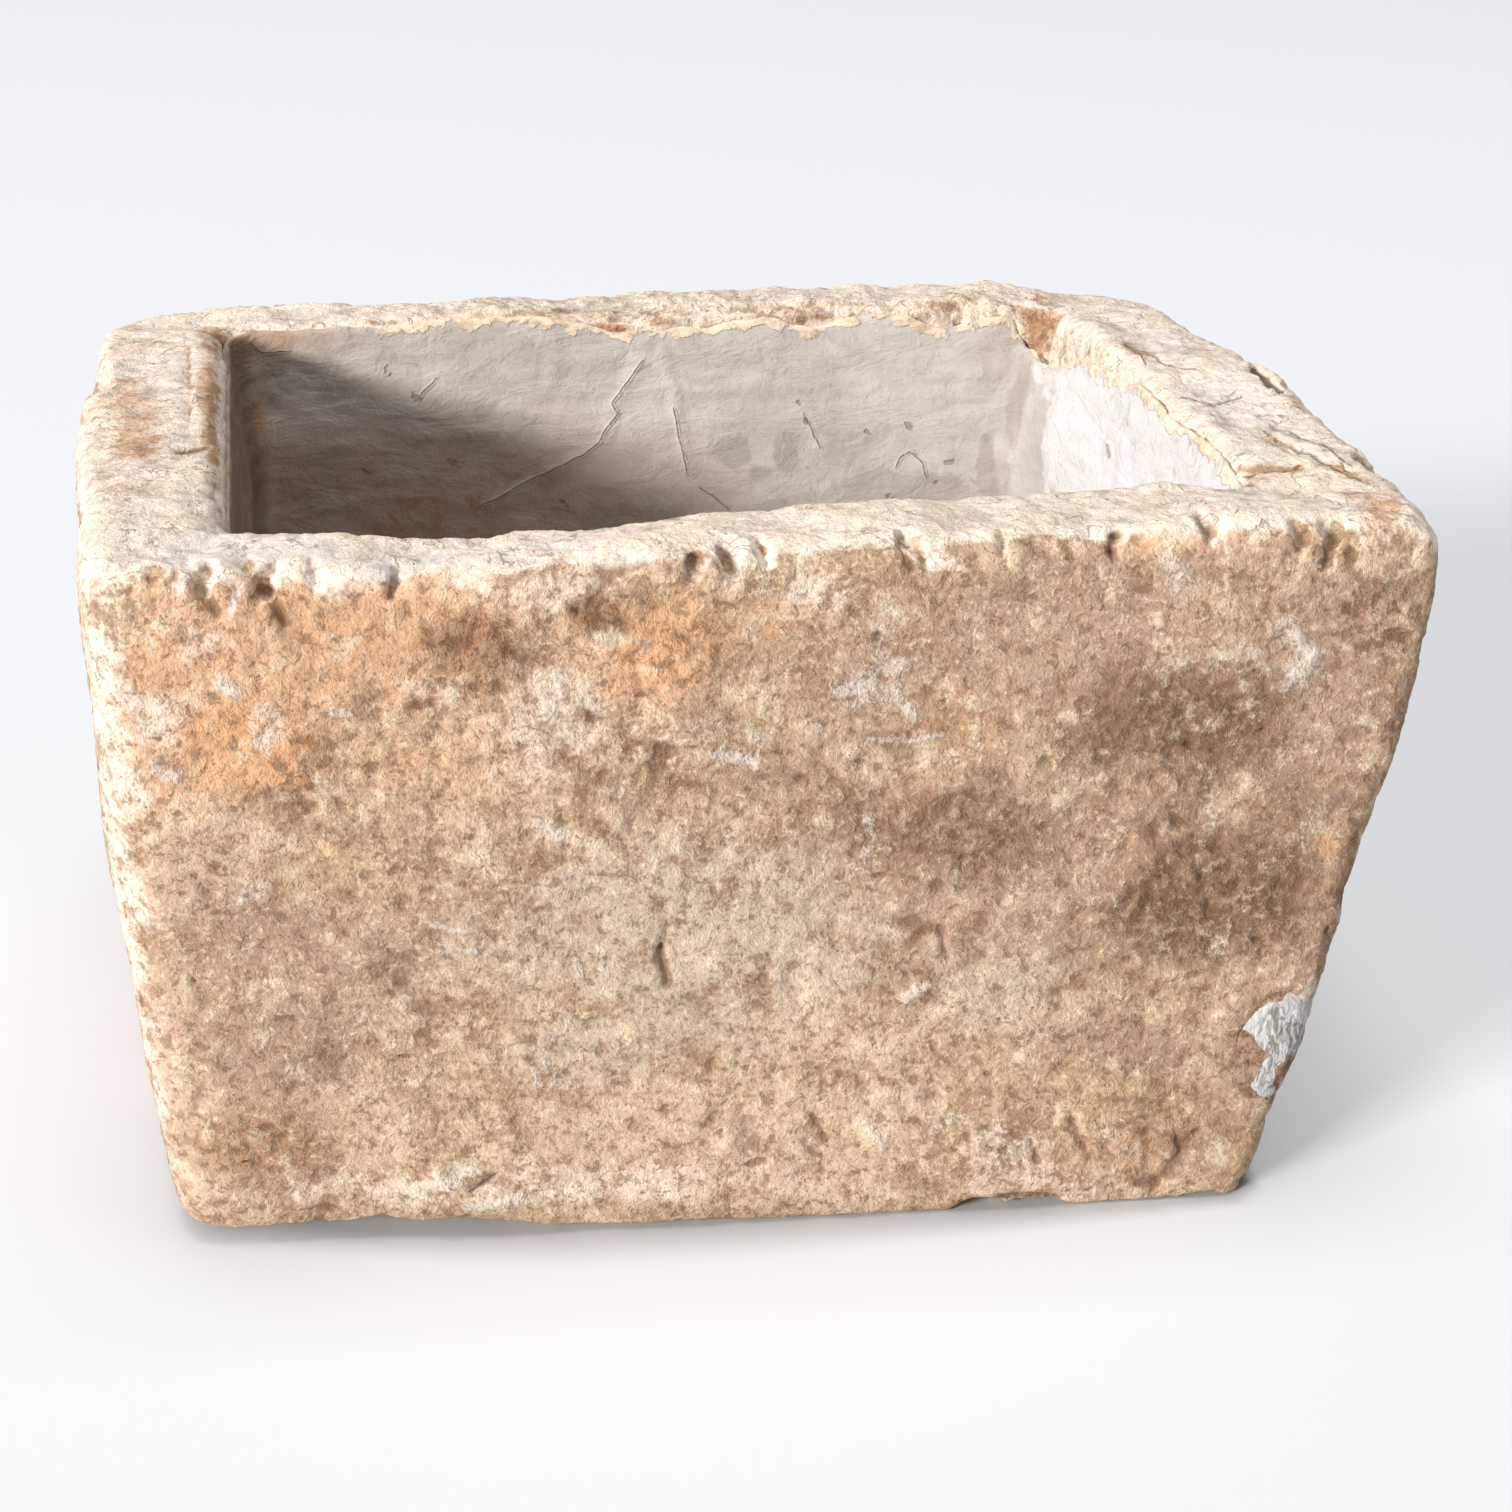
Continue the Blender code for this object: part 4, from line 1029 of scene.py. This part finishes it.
def paint_stone(stone, rim, dented, lining_gap):
    for shade, table in TONE_PATCHES.items():
        stone.add(shade, stone.patches(table))
    bared = DENT_BARED_SHARE * dented * rim
    stone.add("ochre", bared)
    for shade, table in BAND_PATCHES.items():
        band = stone.patches(table)
        stone.add(shade, band)
        bared = np.maximum(bared, band)
    stone.add("plaster", stone.patches(PLASTER_PATCHES))
    stone.add("lime", stone.strokes(LIME_STROKES))
    stone.crack(STONE_CRACKS)
    for number, (shade, wave, strength) in enumerate(UNSEEN_SHADES):
        values = lumps(stone.points, wave, UNSEEN_OCTAVES, UNSEEN_PLACE + number)
        values = eased(*UNSEEN_LEVELS, values)
        stone.add(shade, strength * (1.0 - stone.seen) * values)
    by_render = eased(BY_RENDER_FROM, BY_RENDER_TO, lining_gap)
    by_render *= eased(BAND_LOW, RIM_LOW, stone.points[:, 2])
    bleached = BLEACHED + BLEACHED_WANDER_SHARE * stone.wander + BLEACHED_RAGGED_SHARE * stone.ragged
    bleached = np.maximum(rim, by_render) * np.clip(bleached, 0.0, MOST_BLEACHED)
    stone.add("cream", bleached * (1.0 - BARED_LESS_BLEACHED * np.clip(bared, 0.0, 1.0)))
    stone.masks["rim"] = rim


def scatter_hidden_marks(stone, marks):
    """Lime marks and dents on the sides that the photograph doesn't show."""
    chance = random.Random(HIDDEN_SEED)
    places = np.flatnonzero((stone.seen < HIDDEN_SEEN) & (stone.points[:, 2] > UNDERSIDE))
    unseen = 1.0 - stone.seen
    lime = np.zeros(stone.count)
    for _ in range(HIDDEN_LIME_MARKS):
        near, blob = seeded_blob(stone, chance, places, HIDDEN_LIME_RADII, HIDDEN_STRETCHES, HIDDEN_REACH)
        lime[near] = np.maximum(lime[near], blob * unseen[near])
    stone.add("lime", lime)
    for _ in range(HIDDEN_DENTS):
        near, blob = seeded_blob(stone, chance, places, HIDDEN_DENT_RADII, HIDDEN_STRETCHES, HIDDEN_REACH)
        marks[near] -= HIDDEN_DENT_DEPTH * blob * unseen[near] * chance.uniform(*BLOB_DEPTH_SHARES)


def lap_over_render(stone, render_edge, lining_gap):
    """How far the stone stands out over the render's top edge, whose height is given by angle."""
    above_edge = stone.points[:, 2] - at_angle(render_edge, stone.points)
    at_right = eased(*LAP_RIGHT_X, stone.points[:, 0])
    spans = (LAP_OVER, LAP_DOWN, LAP_CLEAR)
    over, down, clear = (usual + (right - usual) * at_right for usual, right in spans)
    lap = over * eased(0.0, 1.0, (above_edge + LAP_RAGGED * stone.ragged) / down + 1.0)
    return lap * eased(1.0, 0.0, (lining_gap - UNDER_COAT) / (clear - UNDER_COAT))


def make_stone(render_edge):
    stone = Surface("stone_trough", STONE_VOXEL, STONE_SMOOTHING)
    lift_foot(stone)
    stone.add("crumbly", stone.patches(CRUMBLY_PATCHES))
    hidden_crumbly = eased(*CRUMBLY_LEVELS, lumps(stone.points, *CRUMBLY_LUMPS))
    stone.add("crumbly", (1.0 - stone.seen) * hidden_crumbly)
    lining_gap = stone.distance_to("basin_lining")
    mortar_gap = stone.distance_to("mortar_patch")
    z = stone.points[:, 2]
    front = eased(*FRONT_FACING, stone.normals[:, 1])
    ragged_height = z + RIM_WANDER * stone.wander + RIM_RAGGED * stone.ragged - FRONT_RIM_HIGHER * front
    rim = eased(RIM_LOW, RIM_HIGH, ragged_height)
    hidden = (lining_gap < UNDER_COAT) & (z < BAND_LOW)
    hidden |= (z < UNDERSIDE) & (stone.normals[:, 2] < UNDER_FACING)
    free = eased(UNDER_COAT, CLEAR_OF_COAT, lining_gap) * eased(UNDER_COAT, CLEAR_OF_COAT, mortar_gap)
    free *= eased(0.0, FOOT_FREE, z)
    marks, dented = mark_stone(stone)
    paint_stone(stone, rim, dented, lining_gap)
    scatter_hidden_marks(stone, marks)
    pit_front(stone, marks)
    plaster = stone.masks["plaster"]
    raised = PLASTER_THICK * eased(*PLASTER_EDGE, plaster + PLASTER_RAGGED_SHARE * stone.ragged)
    lap = lap_over_render(stone, render_edge, lining_gap)
    wear = wear_stone(stone, rim, stone.masks["crumbly"])
    stone.height = free * (wear + marks + raised) + lap * (1.0 + LAP_RAGGED_SHARE * stone.ragged)
    stone.masks["relief"] = np.clip(0.5 + (stone.height - lap) / RELIEF_RANGE, 0.0, 1.0)
    stone.masks["calm"] = eased(*PLASTER_CALM, plaster)
    stone.piece("hewn_block", "stone_trough", "limestone", stone_material(), hidden)


# The lining's trowelled face, and its top edge, which follows the photograph's on two walls
LINING_VOXEL = 2.3 * MM
LINING_SMOOTHING = 6
LINING_REACH = 12 * MM
LINING_CLEAR = 6.4 * MM
WAVE_LUMPS = (60 * MM, 3, 2.2, (1.0, 1.0, 1.8))
WAVE_HEIGHT = 0.9 * MM
TROWEL_LUMPS = (14 * MM, 3, 6.2, (0.5, 0.5, 1.6))
TROWEL_HEIGHT = 0.55 * MM
EDGE_BAND = 36 * MM
EDGE_RAGGED = 1.6 * MM
EDGE_STEPS = 360
EDGE_SMOOTHINGS = 2
EDGE_DROP = 1 * MM
MOST_DROP = 12 * MM
MOST_RISE = 9 * MM
EDGE_HIGHEST = 0.332
REAR_EDGE_BEHIND = 0.12
RIGHT_EDGE_BEYOND = 0.19
PIXELS_A_METRE_UP = 1600.0

# Where its shades, its painted shadow and its painted light begin and are full: along x, along y, below its
# edge, or by how it faces sideways
CORNER_X = (0.10, 0.18)
CORNER_Y = (0.05, 0.10)
CORNER_FACING_FROM = (-0.05, -0.35)
CORNER_FACING_TO = (-0.97, -0.70)
LIT_WALL_X = (0.10, 0.22)
LIT_WALL_FACING = (-0.5, -0.9)
SHADOW_ZONE_X = (0.12, -0.10)
SHADOW_ZONE_DEPTH = (0.02, 0.11)
AWAY_SIDE_SHADE_X = (0.0, -0.2)
AWAY_SIDE_SHADE_FACING = (-0.2, 0.5)
DEEP_SHADE_DEPTH = (0.07, 0.20)
DEEP_SHADE = 0.35
WALL_SHADE_FACING = (0.3, 0.9)
LEFT_WALL_X = (-0.12, -0.22)
LEFT_TOP_SHADE_DEPTH = (24 * MM, 4 * MM)
BARE_DEPTH = (10 * MM, 1 * MM)
BARE_RAGGED = 6 * MM

# Where the render's ragged top edge runs in the photograph, along the rear wall and down the right wall
EDGE_LINE = (
    (226, 336), (240, 330), (248, 324), (254, 338), (260, 326), (268, 322), (275, 324), (279, 338),
    (284, 326), (300, 322), (308, 328), (314, 345), (319, 332), (329, 332), (345, 323), (364, 329),
    (383, 330), (406, 328), (433, 321), (456, 318), (471, 316), (487, 320), (514, 318), (537, 317),
    (556, 320), (579, 323), (595, 327), (618, 334), (633, 330), (645, 329), (662, 332), (683, 325),
    (704, 330), (725, 322), (746, 320), (779, 316), (787, 326), (810, 325), (825, 326), (850, 317),
    (867, 314), (895, 315), (917, 318), (932, 326), (946, 334), (956, 324), (967, 322), (987, 318),
    (1017, 317), (1026, 324), (1033, 332), (1037, 347), (1046, 368), (1052, 362), (1065, 361),
    (1084, 356), (1096, 364), (1108, 370), (1122, 384), (1146, 388), (1165, 400), (1180, 410),
    (1189, 414), (1200, 436), (1214, 444), (1227, 451), (1241, 464),
)

LINING_CRACKS = (
    ((642, 362), (630, 380), (612, 403), (618, 414), (604, 432), (600, 442), (582, 456), (556, 468)),
    ((556, 468), (530, 480), (500, 497), (480, 506)),
    ((674, 410), (680, 440), (688, 472)),
    ((804, 414), (812, 430), (820, 446)),
    ((700, 488), (712, 496), (728, 508)),
    ((897, 466), (900, 456), (910, 452), (922, 462), (926, 476)),
    ((420, 396), (434, 382), (436, 380)),
    ((252, 344), (262, 354), (288, 352)),
)
DAMP_ROUGH_SHARE = 0.4
DAMP_PATCHES = (
    (734, 453, 34, 30, 1.5), (786, 452, 24, 38, 1.3), (760, 472, 26, 16, 1.1), (1026, 440, 26, 90, 1.5),
    (986, 470, 18, 56, 1.2), (910, 490, 120, 36, 1.1), (1010, 486, 60, 40, 1.0),
    (1048, 350, 22, 60, 0.7), (1006, 350, 40, 20, 0.3), (640, 520, 150, 40, 0.6),
    (330, 380, 60, 40, 0.6), (268, 380, 40, 40, 0.6), (500, 430, 90, 40, 0.6), (320, 510, 60, 40, 0.5),
)
PIT_STROKES = (
    (1, 4, (386, 368), (390, 376)), (1, 5, (947, 462), (953, 462)), (1, 4, (1106, 446), (1108, 456)),
    (1, 4, (448, 460), (456, 464)), (1, 4, (362, 470), (370, 474)), (1, 6, (224, 350), (228, 372)),
    (1, 6, (223, 390), (227, 402)), (1, 4, (866, 430), (869, 434)), (1, 4, (908, 424), (911, 428)),
    (1, 4, (796, 400), (800, 404)), (1, 4, (805, 420), (808, 424)), (1, 4, (934, 482), (938, 484)),
    (1, 4, (888, 496), (892, 500)), (1, 4, (560, 500), (566, 506)), (1, 4, (414, 396), (422, 402)),
)

# Ridges, and where the strength is below zero, troughs: a strength of 1 is one RIDGE_HEIGHT
RIDGE_HEIGHT = 1 * MM
RIDGE_STROKES = (
    (0.9, 10, (662, 350), (676, 400), (690, 470)), (-0.6, 5, (733, 334), (748, 350), (768, 359)),
    (-0.5, 5, (898, 362), (912, 378), (929, 392)), (-0.5, 5, (962, 338), (992, 363)),
    (-0.4, 5, (790, 394), (798, 404), (808, 424)),
    (-0.4, 5, (1098, 462), (1102, 440), (1110, 420), (1114, 396)),
    (0.5, 8, (1118, 480), (1124, 440), (1134, 400)),
    (0.7, 14, (740, 330), (770, 356), (800, 400), (826, 450)),
    (0.6, 12, (548, 320), (556, 350), (552, 380)), (0.6, 10, (350, 324), (340, 350)),
    (0.6, 10, (372, 326), (380, 350)),
    (0.8, 12, (640, 362), (616, 402), (602, 440), (556, 470), (490, 506)),
    (0.6, 16, (900, 452), (926, 470), (912, 488), (892, 470)),
    (0.5, 10, (870, 336), (900, 366), (930, 396)), (0.7, 10, (1058, 380), (1050, 440), (1044, 490)),
)


def edge_places(points):
    """Where each point is in a table by angle about the basin."""
    turn = np.arctan2(points[:, 1], points[:, 0])
    return (turn / math.tau) % 1.0 * EDGE_STEPS


def at_angle(table, points):
    return np.interp(edge_places(points) - 0.5, np.arange(EDGE_STEPS), table, period=EDGE_STEPS)


def drop_edge(lining):
    """Slides the lining's top band along the wall to the photograph's line, and gives its height by angle."""
    x, y, z = lining.points.T
    steps = edge_places(lining.points).astype(int) % EDGE_STEPS
    drops = np.zeros(EDGE_STEPS)
    tops = np.zeros(EDGE_STEPS)
    for step in range(EDGE_STEPS):
        here = np.flatnonzero(steps == step)
        top = here[np.argmax(z[here])]
        tops[step] = z[top]
        drops[step] = EDGE_DROP + EDGE_RAGGED * lining.ragged[top]
        if y[top] > REAR_EDGE_BEHIND or x[top] > RIGHT_EDGE_BEYOND:
            u, v = lining.pixels[top]
            wanted = np.interp(u, *np.array(EDGE_LINE, float).T)
            drops[step] = (wanted - v) / PIXELS_A_METRE_UP
    for _ in range(EDGE_SMOOTHINGS):
        drops = (np.roll(drops, 1) + 2 * drops + np.roll(drops, -1)) / 4
        tops = (np.roll(tops, 1) + 2 * tops + np.roll(tops, -1)) / 4
    drops = np.clip(drops, np.maximum(-MOST_RISE, tops - EDGE_HIGHEST), MOST_DROP)
    top = at_angle(tops, lining.points)
    lining.points[:, 2] -= eased(top - EDGE_BAND, top, z) * at_angle(drops, lining.points)
    return tops - drops


def paint_lining(lining, depth):
    """The lining's shades, painted shadow and painted light, by the photograph's marks, by place and by the
    depth below its edge.
    """
    x, y, z = lining.points.T
    sideways = lining.normals[:, 0]
    left = eased(*LEFT_WALL_X, x)
    lining.add("damp", lining.patches(DAMP_PATCHES, DAMP_ROUGH_SHARE))
    lining.add("pit", lining.strokes(PIT_STROKES))
    lining.crack(LINING_CRACKS)
    corner = eased(*CORNER_FACING_FROM, sideways) * eased(*CORNER_FACING_TO, sideways)
    lining.add("streaks", eased(*CORNER_X, x) * eased(*CORNER_Y, y) * corner)
    # Painted light: the right wall, facing the key light, made paler
    lining.add("pale", eased(*LIT_WALL_X, x) * eased(*LIT_WALL_FACING, sideways))
    # Painted shadow: the left rim's shadow on the rear wall, the left wall turned from the key light, deep in
    # the basin and along the left wall's top
    lining.add("dusk", eased(*SHADOW_ZONE_X, x) * eased(*SHADOW_ZONE_DEPTH, depth))
    lining.add("dusk", eased(*AWAY_SIDE_SHADE_FACING, sideways) * eased(*AWAY_SIDE_SHADE_X, x))
    lining.add("dusk", DEEP_SHADE * eased(*DEEP_SHADE_DEPTH, depth))
    lining.add("dusk", left * eased(*LEFT_TOP_SHADE_DEPTH, depth))
    # Painted shade on the left wall, which faces away from the key light
    lining.add("turned", left * eased(*WALL_SHADE_FACING, sideways))
    lining.add("bare", (1.0 - left) * eased(*BARE_DEPTH, depth + BARE_RAGGED * lining.ragged))


def make_lining():
    """The render coat; gives the height of its top edge by angle about the basin."""
    lining = Surface("basin_lining", LINING_VOXEL, LINING_SMOOTHING)
    gap = lining.distance_to("stone_trough", LINING_REACH)
    render_edge = drop_edge(lining)
    lining.pixels = photo_pixels(lining.points)[0]
    free = eased(UNDER_COAT, LINING_CLEAR, gap)
    waves = WAVE_HEIGHT * lumps(lining.points, *WAVE_LUMPS)
    strokes = TROWEL_HEIGHT * lumps(lining.points, *TROWEL_LUMPS)
    ridges = np.zeros(lining.count)
    for height, half_width, *line in RIDGE_STROKES:
        ridges += height * RIDGE_HEIGHT * lining.stroke(half_width, line)
    lining.height = free * (waves + strokes + ridges)
    paint_lining(lining, at_angle(render_edge, lining.points) - lining.points[:, 2])
    lining.piece("render_coat", "basin_lining", "cement_render", lining_material(), gap < UNDER_COAT)
    return render_edge


# The mortar, brushed and raised a little by its seam
MORTAR_VOXEL = 1.1 * MM
MORTAR_SMOOTHING = 1
MORTAR_REACH = 20 * MM
MORTAR_SEAM = (0.6 * MM, 3.0 * MM)
MORTAR_RIM = (4.0 * MM, 1.0 * MM)
BRUSH_LUMPS = (5 * MM, 3, 1.1, (1.0, 1.0, 0.45))
BRUSH_HEIGHT = 0.9 * MM
SEAM_HEIGHT = 1.2 * MM

# Where it shows through the dirt
MORTAR_SHOWN = (1280, 1026, 36, 36)
MORTAR_SHOWN_ROUGH_SHARE = 0.3
MORTAR_SHOWN_LEVELS = (0.1, 0.4)
MORTAR_STROKES = (
    (1, 22, (1290, 1016), (1316, 984)), (1, 18, (1256, 1020), (1296, 1040)),
    (1, 11, (1284, 1050), (1270, 1066), (1264, 1086)),
)


def make_mortar():
    mortar = Surface("mortar_patch", MORTAR_VOXEL, MORTAR_SMOOTHING)
    gap = mortar.distance_to("stone_trough", MORTAR_REACH)
    free = eased(*MORTAR_SEAM, gap)
    brushed = BRUSH_HEIGHT * lumps(mortar.points, *BRUSH_LUMPS)
    mortar.height = free * brushed + SEAM_HEIGHT * (1.0 - free)
    mortar.add("rim", eased(*MORTAR_RIM, gap))
    shown = mortar.patch(*MORTAR_SHOWN, rough=MORTAR_SHOWN_ROUGH_SHARE)
    shown = np.maximum(shown, mortar.strokes(MORTAR_STROKES))
    mortar.add("covered", (1.0 - eased(*MORTAR_SHOWN_LEVELS, shown)) * mortar.seen)
    mortar.piece("arris_mortar", "mortar_patch", "lime_mortar", mortar_material())


make_camera()
make_lights()
make_floor()
make_backdrop()
make_stone(make_lining())
make_mortar()
